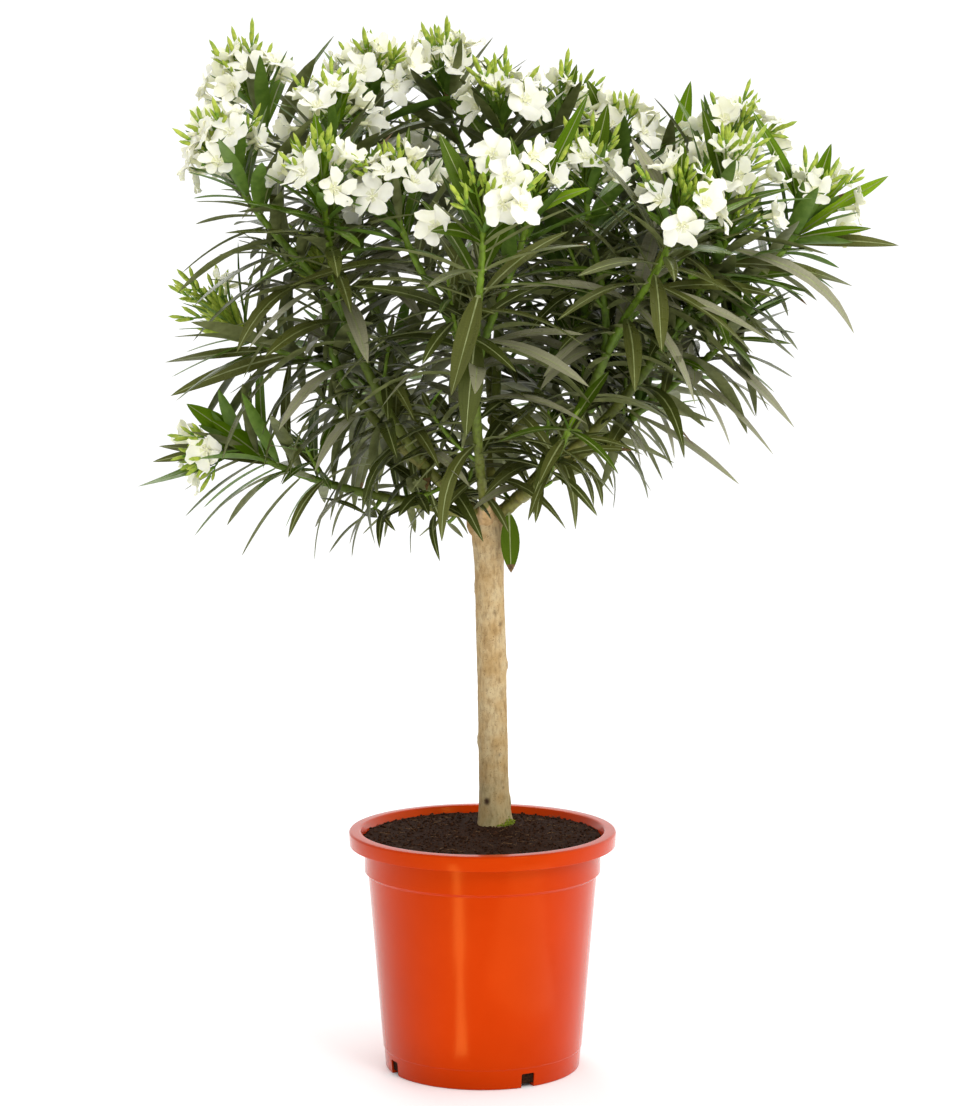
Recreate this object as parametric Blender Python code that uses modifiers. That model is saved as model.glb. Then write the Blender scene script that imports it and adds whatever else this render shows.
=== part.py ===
"""A white oleander grown as a small standard tree, in its round nursery pot.

One object for each sub-part: the pot, its compost, the trunk, fifteen boughs and the fifteen masses of
foliage that the boughs carry. Metres, +Z up. The origin is the middle of the pot's flat underside, and -Y
is the front.
"""

import math
import random
from dataclasses import dataclass

import bmesh
import bpy
import numpy as np
from mathutils import Matrix, Vector, geometry
from mathutils.bvhtree import BVHTree

UP = Vector((0, 0, 1))
GAP = 0.0003

# Pot
POT_HEIGHT = 0.2330
POT_SEGMENTS = 40
RIM_RADIUS = 0.1300
RIM_WIDTH = 0.0115
RIM_DEPTH = 0.0145
RIM_ROUND = 0.0015
COLLAR_RADIUS = 0.1150
COLLAR_DEPTH = 0.0270
LEDGE_WIDTH = 0.0036
LEDGE_DEPTH = 0.0014
FOOT_RADIUS = 0.0955
FOOT_BAND_TOP = 0.0195
FOOT_BAND_STEP = 0.0007
WALL = 0.0024
POT_FLOOR = 0.0030
NOTCH_COUNT = 4
NOTCH_SIZE = 0.0136
NOTCH_BEARING = math.radians(-63)

# Compost
COMPOST_TOP = 0.2308
COMPOST_EDGE = 0.2275
COMPOST_FLAT_RADIUS = 0.0620

# Trunk
TRUNK_FOOT = Vector((0.012, 0.034, COMPOST_TOP + GAP))
FORK = Vector((0.005, 0.020, 0.541))
TRUNK_RINGS = 11
TRUNK_RADIUS = 0.0146
TRUNK_TAPER = 0.0006
FLARE = 0.0036
FLARE_HEIGHT = 0.014
SWELL = 0.0022
SWELL_HEIGHT = 0.020
TRUNK_BOW = Vector((0.0006, 0.0010, 0))
TRUNK_SIDES = 12
SHOULDER_RISE = 0.003
SHOULDER_SHARE = 0.86
DOME_RISE = 0.006
DOME_SHARE = 0.45

# Boughs, stems and shoots
LIMB_POINTS = 32
BEND_PULL = 0.36
BOUGH_RADIUS = 0.0058
SIDE_BOUGH_SHARE = 0.84
BOUGH_TIP_RADIUS = 0.0040
STEM_TIP_RADIUS = 0.0035
SHOOT_RADIUS = 0.0029
SHOOT_TIP_RADIUS = 0.0023
BOUGH_SIDES = 6
BOUGH_SPANS = 5
STEM_SIDES = 6
STEM_SPANS = 3
SHOOT_SPANS = 5
SHOOT_STAGGER = 0.0023
BARE_SHARE = 0.28
LEAVE_FLATTER = 18
LEAST_LEAVE = 10
SHOOT_LENGTH = 0.150
SHOOT_SHARE = 0.46
SHOOT_UPTURN = 0.7
SHOOT_SIDES = 3
STRAIGHT_END = 0.004

# Leaves
LEAF_LENGTH = 0.125
LEAF_WIDTH = 0.026
LEAF_THICKNESS = 0.0026
LEAF_LENGTHS = (0.86, 1.08)
LEAST_WIDTH_SHARE = 0.4
LEAF_WAIST = 0.45
LEAF_ROOT = 0.0010
LEAF_SAMPLES = (0.15, 0.3, LEAF_WAIST, 0.6, 0.75, 0.9, 1.0)
WHORL_LEAVES = 3
YOUNG_SHARE = 0.66
WHORL_STEP = 0.027
WHORL_LEAD = 0.022
WHORL_STAGGER = 0.0022
WHORL_TURN = 60
WHORL_SWING = 12
TIP_OPENING = 36
FULL_OPENING = 84
OPENING_SWING = 5
OPENING_REACH = 0.19
FULL_DROOP = 0.40
DROOP_REACH = 0.26
LEAF_TRIES = (
    (0, 0, 1),
    (16, 6, 1),
    (-16, 6, 1),
    (34, 12, 0.95),
    (-34, 12, 0.95),
    (0, 18, 0.85),
    (50, 24, 0.85),
    (-50, 24, 0.85),
    (0, -14, 0.8),
    (0, 8, 0.66),
)
SPACE_MARGIN = 0.0024
LIMB_MARGIN = 0.0030

# Flowers and buds
PETALS = 5
FLOWER_RADIUS = 0.0225
FLOWER_DEPTH = 0.040
FLOWER_THROAT = 0.012
PETAL_NOTCH = 0.50
TRUSS_ROOT = 0.0025
FLOWER_TILT = 58
FLOWER_SWING = 8
BUD_LENGTH = 0.040
BUD_LENGTHS = (1.0, 1.5)
BUD_WIDTH = 0.0085
BUD_WAIST = 0.72
BUD_TILT = 16
BUD_TILT_START = 0.3
BUD_TURN = 40
TRUSS_BUDS = 2


@dataclass
class Growth:
    """A bough and the mass it carries.

    Its shoots' tips stand round a middle that lies `reach` from the fork at `bearing` (degrees, 0 to the
    right and 90 to the back), `top` above the ground. `rise` is how steeply the stem ends. Each shoot
    stands `spread` from the middle, the first at bearing `first`, and one of `lifts` above or below the
    top. `blooms` counts the flowers of each truss. The bough leaves `grows_from` at the share `at` of its
    length.
    """

    grows_from: str
    at: float
    bearing: float
    reach: float
    top: float
    rise: float
    spread: float = 0.0
    first: float = 0.0
    lifts: tuple = (0.0,)
    blooms: tuple = (0,)


GROWTHS = {
    "left_low": Growth("trunk", 0.985, 177, 0.250, 0.608, 30, blooms=(3,)),
    "left_high": Growth(
        "trunk", 0.970, -154, 0.198, 0.872, 70, 0.060, -62, (-0.030, 0.030, -0.002), (3, 3, 5)
    ),
    "centre_front": Growth(
        "trunk", 0.965, -96, 0.160, 0.822, 76, 0.072, -80, (-0.010, 0.006, 0.010), (1, 4, 5)
    ),
    "right_high": Growth(
        "trunk", 0.960, -32, 0.190, 0.838, 66, 0.076, -83, (-0.016, 0.012, 0.010), (5, 4, 3)
    ),
    "back_right": Growth(
        "trunk", 0.970, 38, 0.235, 0.886, 68, 0.062, -33, (0.004, -0.020, 0.005), (3, 3, 3)
    ),
    "back_left": Growth(
        "trunk", 0.960, 143, 0.205, 0.930, 70, 0.072, -45, (0.014, -0.010, 0.010), (4, 2, 4)
    ),
    "centre": Growth(
        "trunk", 1.000, 82, 0.095, 0.934, 84, 0.066, 150, (0.020, -0.014, -0.014), (4, 3, 2)
    ),
    "left_mid": Growth("left_high", 0.22, -178, 0.206, 0.752, 44, 0.050, 157, (-0.026, 0.030), (2, 0)),
    "right_far": Growth(
        "right_high", 0.24, -4, 0.246, 0.820, 52, 0.062, -110, (-0.013, 0.004, 0.020), (4, 3, 4)
    ),
    "front_low": Growth("right_high", 0.13, -62, 0.160, 0.632, 40),
    "right_low": Growth("back_right", 0.20, 6, 0.200, 0.690, 44, 0.056, -33, (0.045, -0.045), (0, 0)),
    "mid_right": Growth("centre", 0.16, 18, 0.095, 0.780, 72, 0.034, -60, (-0.025, 0.025), (0, 0)),
    "back": Growth("centre", 0.24, 92, 0.215, 0.860, 66, 0.070, 90, (-0.020, 0.010, 0.010), (3, 3, 0)),
    "back_low_left": Growth("back_left", 0.20, 125, 0.225, 0.680, 42, 0.060, 60, (0.000, 0.030), (0, 0)),
    "back_low_right": Growth("back_right", 0.25, 62, 0.225, 0.660, 42, 0.060, 10, (0.020, 0.000), (0, 0)),
}


def start_empty():
    """Clears the scene, and makes one collection for the parts and one for the cutters and loose pieces."""
    for thing in list(bpy.data.objects):
        bpy.data.objects.remove(thing)
    parts = bpy.data.collections.new("potted_oleander")
    pieces = bpy.data.collections.new("pieces_to_join")
    cutters = bpy.data.collections.new("cutters")
    for collection in (parts, pieces, cutters):
        bpy.context.scene.collection.children.link(collection)
    return parts, pieces, cutters


def material(name, colour, roughness):
    """A Principled material of one plain colour."""
    made = bpy.data.materials.new(name)
    made.use_nodes = True
    shader = made.node_tree.nodes["Principled BSDF"]
    shader.inputs["Base Color"].default_value = (*colour, 1)
    shader.inputs["Roughness"].default_value = roughness
    made.diffuse_color = (*colour, 1)
    return made


def add_object(name, mesh, collection, surface=None):
    made = bpy.data.objects.new(name, mesh)
    collection.objects.link(made)
    if surface:
        mesh.materials.clear()
        mesh.materials.append(surface)
    return made


def evaluated_mesh(thing):
    """A new mesh of the object as its modifiers or its bevel leave it, with a curve's caps welded on."""
    graph = bpy.context.evaluated_depsgraph_get()
    mesh = bpy.data.meshes.new_from_object(thing.evaluated_get(graph))
    shape = bmesh.new()
    shape.from_mesh(mesh)
    bmesh.ops.remove_doubles(shape, verts=shape.verts, dist=1e-7)
    bmesh.ops.recalc_face_normals(shape, faces=shape.faces)
    shape.to_mesh(mesh)
    shape.free()
    return mesh


def remove(thing):
    data = thing.data
    bpy.data.objects.remove(thing)
    if isinstance(data, bpy.types.Curve):
        bpy.data.curves.remove(data)
    else:
        bpy.data.meshes.remove(data)


def shade_round(mesh, angle=40):
    mesh.shade_smooth()
    mesh.set_sharp_from_angle(angle=math.radians(angle))


def turned(name, outline, collection, surface):
    """A solid of revolution. The outline runs down its outer side, and starts and ends on the axis."""
    mesh = bpy.data.meshes.new(name)
    edges = [(i, i + 1) for i in range(len(outline) - 1)]
    mesh.from_pydata([(r, 0, z) for r, z in outline], edges, [])
    made = add_object(name, mesh, collection, surface)
    screw = made.modifiers.new("turn", "SCREW")
    screw.steps = screw.render_steps = POT_SEGMENTS
    screw.use_merge_vertices = True
    screw.merge_threshold = 0.00001
    screw.use_smooth_shade = True
    return made


def wall_radius(z):
    """The outer radius of the pot's wall below its ledge."""
    ledge_z = POT_HEIGHT - RIM_DEPTH - COLLAR_DEPTH
    return FOOT_RADIUS + (COLLAR_RADIUS - LEDGE_WIDTH - FOOT_RADIUS) * z / ledge_z


def make_pot(parts, cutters):
    """A moulded pot: rolled rim, collar, ledge, tapering wall, foot band, and drain notches in its foot."""
    rim_z = POT_HEIGHT - RIM_DEPTH
    ledge_z = rim_z - COLLAR_DEPTH
    mouth = RIM_RADIUS - RIM_WIDTH
    outline = [
        (0, POT_FLOOR),
        (wall_radius(POT_FLOOR) - WALL, POT_FLOOR),
        (wall_radius(ledge_z) - WALL, ledge_z - LEDGE_DEPTH),
        (COLLAR_RADIUS - WALL, ledge_z + LEDGE_DEPTH),
        (COLLAR_RADIUS - WALL, rim_z),
        (mouth, POT_HEIGHT - RIM_ROUND),
        (mouth + RIM_ROUND, POT_HEIGHT),
        (RIM_RADIUS - RIM_ROUND, POT_HEIGHT),
        (RIM_RADIUS, POT_HEIGHT - RIM_ROUND),
        (RIM_RADIUS, rim_z + RIM_ROUND),
        (RIM_RADIUS - RIM_ROUND, rim_z),
        (COLLAR_RADIUS, rim_z + RIM_ROUND),
        (COLLAR_RADIUS, ledge_z + LEDGE_DEPTH),
        (wall_radius(ledge_z), ledge_z - LEDGE_DEPTH),
        (wall_radius(FOOT_BAND_TOP), FOOT_BAND_TOP),
        (wall_radius(FOOT_BAND_TOP) - FOOT_BAND_STEP, FOOT_BAND_TOP - FOOT_BAND_STEP),
        (FOOT_RADIUS - FOOT_BAND_STEP, 0),
        (0, 0),
    ]
    pot = turned("pot", outline, parts, material("orange_plastic", (0.62, 0.055, 0.010), 0.28))
    for i in range(NOTCH_COUNT):
        bearing = NOTCH_BEARING + i * math.tau / NOTCH_COUNT
        shape = bmesh.new()
        size = Matrix.Diagonal((4 * NOTCH_SIZE, NOTCH_SIZE, 2 * NOTCH_SIZE, 1))
        bmesh.ops.create_cube(shape, size=1, matrix=size)
        mesh = bpy.data.meshes.new(f"notch_{i + 1}")
        shape.to_mesh(mesh)
        shape.free()
        cutter = add_object(mesh.name, mesh, cutters)
        cutter.location = (FOOT_RADIUS * math.cos(bearing), FOOT_RADIUS * math.sin(bearing), 0)
        cutter.rotation_euler.z = bearing
        cutter.hide_render = True
        cutter.display_type = "WIRE"
        cut = pot.modifiers.new(mesh.name, "BOOLEAN")
        cut.operation = "DIFFERENCE"
        cut.object = cutter
    return pot


def make_compost(parts):
    """The compost fills the pot to just under its rim, flat round the trunk and lower by the wall."""
    ledge_z = POT_HEIGHT - RIM_DEPTH - COLLAR_DEPTH
    inside = WALL + GAP
    rim_slope = (RIM_RADIUS - RIM_WIDTH - COLLAR_RADIUS + WALL) / (RIM_DEPTH - RIM_ROUND)
    edge_rise = COMPOST_EDGE - (POT_HEIGHT - RIM_DEPTH)
    outline = [
        (0, COMPOST_TOP),
        (COMPOST_FLAT_RADIUS, COMPOST_TOP),
        (COLLAR_RADIUS - inside + rim_slope * edge_rise - GAP, COMPOST_EDGE),
        (COLLAR_RADIUS - inside, POT_HEIGHT - RIM_DEPTH - GAP),
        (COLLAR_RADIUS - inside, ledge_z + LEDGE_DEPTH + GAP),
        (wall_radius(ledge_z) - inside, ledge_z - LEDGE_DEPTH),
        (wall_radius(POT_FLOOR) - inside, POT_FLOOR + GAP),
        (0, POT_FLOOR + GAP),
    ]
    return turned("compost", outline, parts, material("compost", (0.020, 0.012, 0.007), 0.95))


def tube(name, points, radii, sides, collection):
    """A limb with flat ends, and a radius at each point. Three sides need a profile of their own."""
    curve = bpy.data.curves.new(name, "CURVE")
    curve.dimensions = "3D"
    curve.use_fill_caps = True
    profile = None
    if sides == 3:
        profile = three_sided_profile(collection)
        curve.bevel_mode = "OBJECT"
        curve.bevel_object = profile
    else:
        curve.bevel_depth = 1
        curve.bevel_resolution = (sides - 4) // 2
    spline = curve.splines.new("POLY")
    spline.points.add(len(points) - 1)
    for knot, place, radius in zip(spline.points, points, radii):
        knot.co = (*place, 1)
        knot.radius = radius
    drawn = bpy.data.objects.new(name, curve)
    collection.objects.link(drawn)
    mesh = evaluated_mesh(drawn)
    remove(drawn)
    if profile:
        remove(profile)
    mesh.name = name
    return add_object(name, mesh, collection)


def three_sided_profile(collection):
    curve = bpy.data.curves.new("three_sides", "CURVE")
    spline = curve.splines.new("POLY")
    spline.points.add(2)
    spline.use_cyclic_u = True
    for i, knot in enumerate(spline.points):
        turn = i * math.tau / 3
        knot.co = (math.cos(turn), math.sin(turn), 0, 1)
    profile = bpy.data.objects.new("three_sides", curve)
    collection.objects.link(profile)
    return profile


def keep_largest_body(mesh):
    """Drops what a Boolean leaves loose: scraps outside, and the walls of sealed hollows inside."""
    shape = bmesh.new()
    shape.from_mesh(mesh)
    waiting = set(shape.verts)
    bodies = []
    while waiting:
        body = {waiting.pop()}
        edge = list(body)
        while edge:
            vertex = edge.pop()
            for link in vertex.link_edges:
                other = link.other_vert(vertex)
                if other in waiting:
                    waiting.remove(other)
                    body.add(other)
                    edge.append(other)
        bodies.append(body)
    bodies.sort(key=len)
    scraps = [vertex for body in bodies[:-1] for vertex in body]
    bmesh.ops.delete(shape, geom=scraps, context="VERTS")
    shape.to_mesh(mesh)
    shape.free()


def apply_boolean(thing, operation, solver, operand):
    """Cuts or joins at once, and leaves one closed body. The operand is an object or a collection."""
    change = thing.modifiers.new(operation, "BOOLEAN")
    change.operation = operation
    change.solver = solver
    if isinstance(operand, bpy.types.Collection):
        change.operand_type = "COLLECTION"
        change.collection = operand
    else:
        change.object = operand
    graph = bpy.context.evaluated_depsgraph_get()
    mesh = bpy.data.meshes.new_from_object(thing.evaluated_get(graph))
    thing.modifiers.clear()
    old = thing.data
    thing.data = mesh
    bpy.data.meshes.remove(old)
    mesh.name = thing.name
    keep_largest_body(mesh)


def bearing_vector(degrees, length):
    turn = math.radians(degrees)
    return Vector((math.cos(turn) * length, math.sin(turn) * length, 0))


def lengths_along(points):
    total = [0.0]
    for a, b in zip(points, points[1:]):
        total.append(total[-1] + (b - a).length)
    return total


def place_along(points, distance):
    """The place at a distance along a limb, and the limb's direction there."""
    marks = lengths_along(points)
    i = min(max(np.searchsorted(marks, distance) - 1, 0), len(points) - 2)
    step = points[i + 1] - points[i]
    share = (distance - marks[i]) / step.length
    return points[i] + step * share, step.normalized()


def stretch(points, first, last, spans):
    """The part of a limb between two distances, in so many spans, with its ends cut square to the limb."""
    a, a_way = place_along(points, first)
    b, b_way = place_along(points, last)
    step = (last - first) / spans
    middle = [place_along(points, first + step * i)[0] for i in range(1, spans)]
    return [a, a + a_way * STRAIGHT_END, *middle, b - b_way * STRAIGHT_END, b]


def evenly(points, spans):
    """A limb in so many spans, from its start to its end."""
    total = lengths_along(points)[-1]
    return [place_along(points, total * i / spans)[0] for i in range(spans + 1)]


def bent(start, end, leave, arrive):
    """A limb that bends smoothly from one direction into another."""
    pull = (end - start).length * BEND_PULL
    handles = (start, start + leave * pull, end - arrive * pull, end)
    return geometry.interpolate_bezier(*handles, LIMB_POINTS)


def inclined(flat, rise):
    """A direction over the level one, raised by so many degrees."""
    angle = math.radians(rise)
    return flat.normalized() * math.cos(angle) + UP * math.sin(angle)


def trunk_axis():
    """The trunk leans a little to the left as it rises, and its foot is cut level."""
    middle = TRUNK_FOOT.lerp(FORK, 0.5) + TRUNK_BOW
    points = []
    for i in range(TRUNK_RINGS):
        share = (1 - math.cos(math.pi * i / (TRUNK_RINGS - 1))) / 2
        low = TRUNK_FOOT.lerp(middle, share)
        high = middle.lerp(FORK, share)
        points.append(low.lerp(high, share))
    points[1].xy = points[0].xy
    return points


def trunk_radius(z):
    height = FORK.z - TRUNK_FOOT.z
    rise = z - TRUNK_FOOT.z
    flare = FLARE * math.exp(-rise / FLARE_HEIGHT)
    swell = SWELL * math.exp(-(((height - SWELL_HEIGHT - rise) / SWELL_HEIGHT) ** 2))
    return TRUNK_RADIUS - TRUNK_TAPER * rise / height + flare + swell


def trunk_shape(name, collection, extra=0.0):
    """The trunk's solid, with a low dome over the fork."""
    points = trunk_axis()
    radii = [trunk_radius(p.z) + extra for p in points]
    dome = points[-1] + UP * (DOME_RISE + extra)
    shoulder = points[-1] + UP * (SHOULDER_RISE + extra)
    points += [shoulder, dome]
    radii += [radii[-1] * SHOULDER_SHARE, radii[-1] * DOME_SHARE]
    return tube(name, points, radii, TRUNK_SIDES, collection)


def grow_limbs():
    """Works out each growth's own lines: its bough, its stem up to the hub, and its shoots from there."""
    limbs = {"trunk": trunk_axis()}
    lines = {}
    for name, growth in GROWTHS.items():
        parent = limbs[growth.grows_from]
        start, _ = place_along(parent, lengths_along(parent)[-1] * growth.at)
        middle = FORK + bearing_vector(growth.bearing, growth.reach)
        middle.z = growth.top
        flat = (middle - start) * Vector((1, 1, 0))
        chord = math.degrees(math.atan2(middle.z - start.z, flat.length))
        leave = max(LEAST_LEAVE, 2 * chord - growth.rise - LEAVE_FLATTER)
        axis = bent(start, middle, inclined(flat, leave), inclined(flat, growth.rise))
        limbs[name] = axis
        total = lengths_along(axis)[-1]
        bare = total * BARE_SHARE
        count = len(growth.lifts)
        hub = total - min(SHOOT_LENGTH, total * SHOOT_SHARE) if count > 1 else total
        shoots = []
        for i, lift in enumerate(growth.lifts) if count > 1 else ():
            tip = middle + bearing_vector(growth.first + 360 * i / count, growth.spread)
            tip.z += lift
            root, way = place_along(axis, hub - SHOOT_STAGGER * (i + 1))
            straight = (tip - root).normalized()
            end_way = (straight + UP * SHOOT_UPTURN).normalized()
            start_way = way.lerp(straight, 0.5).normalized()
            shoots.append(evenly(bent(root, tip, start_way, end_way), SHOOT_SPANS))
        lines[name] = {
            "bough": stretch(axis, 0, bare, BOUGH_SPANS),
            "stem": stretch(axis, bare + GAP, hub, STEM_SPANS),
            "shoots": shoots,
        }
    return lines


def segments_of(points):
    a = np.array(points[:-1])
    return np.hstack([a, np.array(points[1:])])


def distances(places, segments):
    """How far each place is from each segment of the limbs' lines."""
    start = segments[None, :, :3]
    way = segments[None, :, 3:] - start
    offset = places[:, None, :] - start
    share = np.clip((offset * way).sum(2) / (way**2).sum(2), 0, 1)
    return np.linalg.norm(offset - way * share[..., None], axis=2)


class Space:
    """The crown shared out: each mass owns what lies nearer to its own lines than to another mass's."""

    def __init__(self, lines):
        self.masses = {}
        bars = []
        for name, line in lines.items():
            own = [segments_of(line["stem"])] + [segments_of(shoot) for shoot in line["shoots"]]
            self.masses[name] = np.vstack(own)
            rows = segments_of(line["bough"])
            bars.append(np.hstack([rows, np.full((len(rows), 1), BOUGH_RADIUS)]))
        rows = segments_of(trunk_axis())
        bars.append(np.hstack([rows, np.full((len(rows), 1), TRUNK_RADIUS + SWELL)]))
        self.bars = np.vstack(bars)

    def holds(self, name, places):
        """Whether all the places lie in a mass's own space, and clear of every bough and of the trunk."""
        own = distances(places, self.masses[name]).min(1)
        for other, segments in self.masses.items():
            if other != name and (distances(places, segments).min(1) < own + SPACE_MARGIN).any():
                return False
        return bool((distances(places, self.bars[:, :6]) > self.bars[:, 6] + LIMB_MARGIN).all())


def spindle(sides, place):
    """Two cones base to base: a ring between two ends, with each corner put in its place by a function."""
    shape = bmesh.new()
    bmesh.ops.create_uvsphere(shape, u_segments=sides, v_segments=2, radius=1)
    for vertex in shape.verts:
        vertex.co = place(vertex.co.copy())
    return shape


class Leaf:
    """A long keeled lance of six faces that springs from a twig and bends down under its own weight."""

    def __init__(self, root, way, axis, length, droop):
        self.way = way
        self.side = axis.cross(way).normalized()
        self.face = way.cross(self.side).normalized()
        self.root = root - way * LEAF_ROOT
        self.length = length / max(1, (way - UP * droop).length)
        self.droop = droop
        share = length / LEAF_LENGTH
        self.width = LEAF_WIDTH * (LEAST_WIDTH_SHARE + (1 - LEAST_WIDTH_SHARE) * share)

    def point(self, share, across=0.0, keel=0.0):
        middle = self.root + self.way * self.length * share - UP * self.droop * self.length * share**2
        half = self.width / 2 * min(share / LEAF_WAIST, (1 - share) / (1 - LEAF_WAIST))
        return middle + self.side * across * half - self.face * keel * LEAF_THICKNESS

    def samples(self):
        return np.array([self.point(share, across) for share in LEAF_SAMPLES for across in (-1, 0, 1)])

    def shape(self):
        def place(corner):
            if abs(corner.z) > 0.5:
                return self.point((corner.z + 1) / 2)
            return self.point(LEAF_WAIST, corner.y / math.sin(math.tau / 3), max(corner.x, 0))

        return spindle(3, place)


def turned_about(way, axis, degrees):
    return Matrix.Rotation(math.radians(degrees), 3, axis) @ way


def square_to(axis):
    """A direction square to an axis, as level as it can be."""
    level = axis.cross(UP)
    return (level if level.length > 0.05 else axis.cross(Vector((1, 0, 0)))).normalized()


def leaning(axis, turn, degrees):
    """A direction that leans away from an axis, towards the side that `turn` gives."""
    outward = turned_about(square_to(axis), axis, turn)
    angle = math.radians(degrees)
    return axis * math.cos(angle) + outward * math.sin(angle)


def flower_shape(root, way):
    """A five-petalled star on a funnel that runs down into the shoot."""
    side = square_to(way)
    other = way.cross(side)

    def place(corner):
        if corner.z < -0.5:
            return root
        if corner.z > 0.5:
            return root + way * (FLOWER_DEPTH - FLOWER_THROAT)
        spoke = round(math.atan2(corner.y, corner.x) / math.tau * 2 * PETALS)
        reach = FLOWER_RADIUS * (PETAL_NOTCH if spoke % 2 else 1)
        return root + way * FLOWER_DEPTH + (side * corner.x + other * corner.y) * reach

    return spindle(2 * PETALS, place)


def bud_shape(root, way, length):
    side = square_to(way)
    other = way.cross(side)

    def place(corner):
        share = BUD_WAIST if abs(corner.z) < 0.5 else (corner.z + 1) / 2
        return root + way * length * share + (side * corner.x + other * corner.y) * BUD_WIDTH / 2

    return spindle(3, place)


class Mass:
    """One mass of foliage as it grows: loose pieces, kept in the mass's space and off each other."""

    def __init__(self, name, space, pieces):
        self.name = name
        self.space = space
        self.pieces = pieces
        self.chance = random.Random(name)
        self.grown = []
        self.twigs = []

    def add_twig(self, points, radii, sides):
        twig = tube("twig", points, radii, sides, self.pieces)
        shape = bmesh.new()
        shape.from_mesh(twig.data)
        self.twigs.append(BVHTree.FromBMesh(shape))
        shape.free()

    def keep(self, shape):
        mesh = bpy.data.meshes.new("piece")
        shape.to_mesh(mesh)
        add_object("piece", mesh, self.pieces)
        self.grown.append(BVHTree.FromBMesh(shape))

    def meets_others(self, shape, own_twig):
        """Whether a leaf touches a piece that has grown already, other than its own twig."""
        tree = BVHTree.FromBMesh(shape)
        others = self.grown + [twig for i, twig in enumerate(self.twigs) if i != own_twig]
        return any(tree.overlap(other) for other in others)

    def add_truss(self, line, blooms):
        """The flowers that lean out round a shoot's tip, and the slender buds that stand among them."""
        root, axis = place_along(line, lengths_along(line)[-1] - TRUSS_ROOT)
        first = self.chance.uniform(0, 360)
        for i in range(blooms):
            tilt = FLOWER_TILT + self.chance.uniform(-FLOWER_SWING, FLOWER_SWING)
            way = leaning(axis, first + 360 * i / blooms, tilt)
            side = square_to(way) * FLOWER_RADIUS
            middle = root + way * FLOWER_DEPTH
            rim = np.array([middle + turned_about(side, way, 360 * k / PETALS) for k in range(PETALS)])
            if self.space.holds(self.name, rim):
                shape = flower_shape(root, way)
                self.keep(shape)
                shape.free()
        for i in range(TRUSS_BUDS if blooms else 1):
            way = leaning(axis, first + 360 * i / TRUSS_BUDS + BUD_TURN, BUD_TILT * (i + BUD_TILT_START))
            length = BUD_LENGTH * (self.chance.uniform(*BUD_LENGTHS) if blooms else YOUNG_SHARE)
            if self.space.holds(self.name, np.array([root + way * length])):
                shape = bud_shape(root, way, length)
                self.keep(shape)
                shape.free()

    def add_leaves(self, line, below_tip, own_twig):
        """Whorls of three down a twig: upright at its tip, and wider and more bowed with each whorl."""
        total = lengths_along(line)[-1]
        for whorl in range(int((total - WHORL_LEAD) / WHORL_STEP) + 1):
            turn = WHORL_TURN * whorl + self.chance.uniform(-WHORL_SWING, WHORL_SWING)
            for i in range(WHORL_LEAVES):
                from_tip = whorl * WHORL_STEP + WHORL_STAGGER * (i + 2)
                place, axis = place_along(line, total - from_tip)
                age = from_tip + below_tip
                opening = TIP_OPENING + (FULL_OPENING - TIP_OPENING) * min(1, age / OPENING_REACH)
                droop = FULL_DROOP * min(1, age / DROOP_REACH)
                length = LEAF_LENGTH * self.chance.uniform(*LEAF_LENGTHS) * (YOUNG_SHARE if whorl == 0 else 1)
                for swing, wider, share in LEAF_TRIES:
                    lean = opening + wider + self.chance.uniform(-OPENING_SWING, OPENING_SWING)
                    way = leaning(axis, turn + 360 * i / WHORL_LEAVES + swing, lean)
                    leaf = Leaf(place, way, axis, length * share, droop)
                    if not self.space.holds(self.name, leaf.samples()):
                        continue
                    shape = leaf.shape()
                    free = not self.meets_others(shape, own_twig)
                    if free:
                        self.keep(shape)
                    shape.free()
                    if free:
                        break


def make_boughs(lines, parts, pieces):
    """The bare boughs, each cut clear of the trunk and of the boughs that stand before it."""
    bark = material("bough_bark", (0.20, 0.17, 0.07), 0.8)
    standing = [trunk_shape("trunk_cutter", pieces, GAP)]
    for name, line in lines.items():
        main = GROWTHS[name].grows_from == "trunk"
        points = line["bough"]
        foot = BOUGH_RADIUS * (1 if main else SIDE_BOUGH_SHARE)
        radii = np.linspace(foot, BOUGH_TIP_RADIUS, len(points))
        bough = tube(f"bough_{name}", points, radii, BOUGH_SIDES, parts)
        for cutter in standing:
            apply_boolean(bough, "DIFFERENCE", "EXACT", cutter)
        bough.data.materials.append(bark)
        shade_round(bough.data)
        standing.append(tube(f"cutter_{name}", points, radii + GAP, BOUGH_SIDES, pieces))
    for cutter in standing:
        remove(cutter)


def make_mass(name, line, space, parts, pieces):
    """One mass of foliage: its stem, shoots, leaves, flowers and buds, joined into one body."""
    mass = Mass(name, space, pieces)
    points = line["stem"]
    mass.add_twig(points, np.linspace(BOUGH_TIP_RADIUS, STEM_TIP_RADIUS, len(points)), STEM_SIDES)
    for points in line["shoots"]:
        mass.add_twig(points, np.linspace(SHOOT_RADIUS, SHOOT_TIP_RADIUS, len(points)), SHOOT_SIDES)
    twigs = line["shoots"] or [line["stem"]]
    first = len(mass.twigs) - len(twigs)
    for twig, blooms in zip(twigs, GROWTHS[name].blooms):
        mass.add_truss(twig, blooms)
    for i, twig in enumerate(twigs):
        mass.add_leaves(twig, 0, first + i)
    if line["shoots"]:
        mass.add_leaves(line["stem"], SHOOT_LENGTH, 0)
    joined = pieces.objects[0]
    pieces.objects.unlink(joined)
    parts.objects.link(joined)
    joined.name = f"foliage_{name}"
    apply_boolean(joined, "UNION", "MANIFOLD", pieces)
    for piece in list(pieces.objects):
        remove(piece)
    joined.data.materials.append(material(f"leaves_{name}", (0.075, 0.16, 0.03), 0.45))


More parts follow.
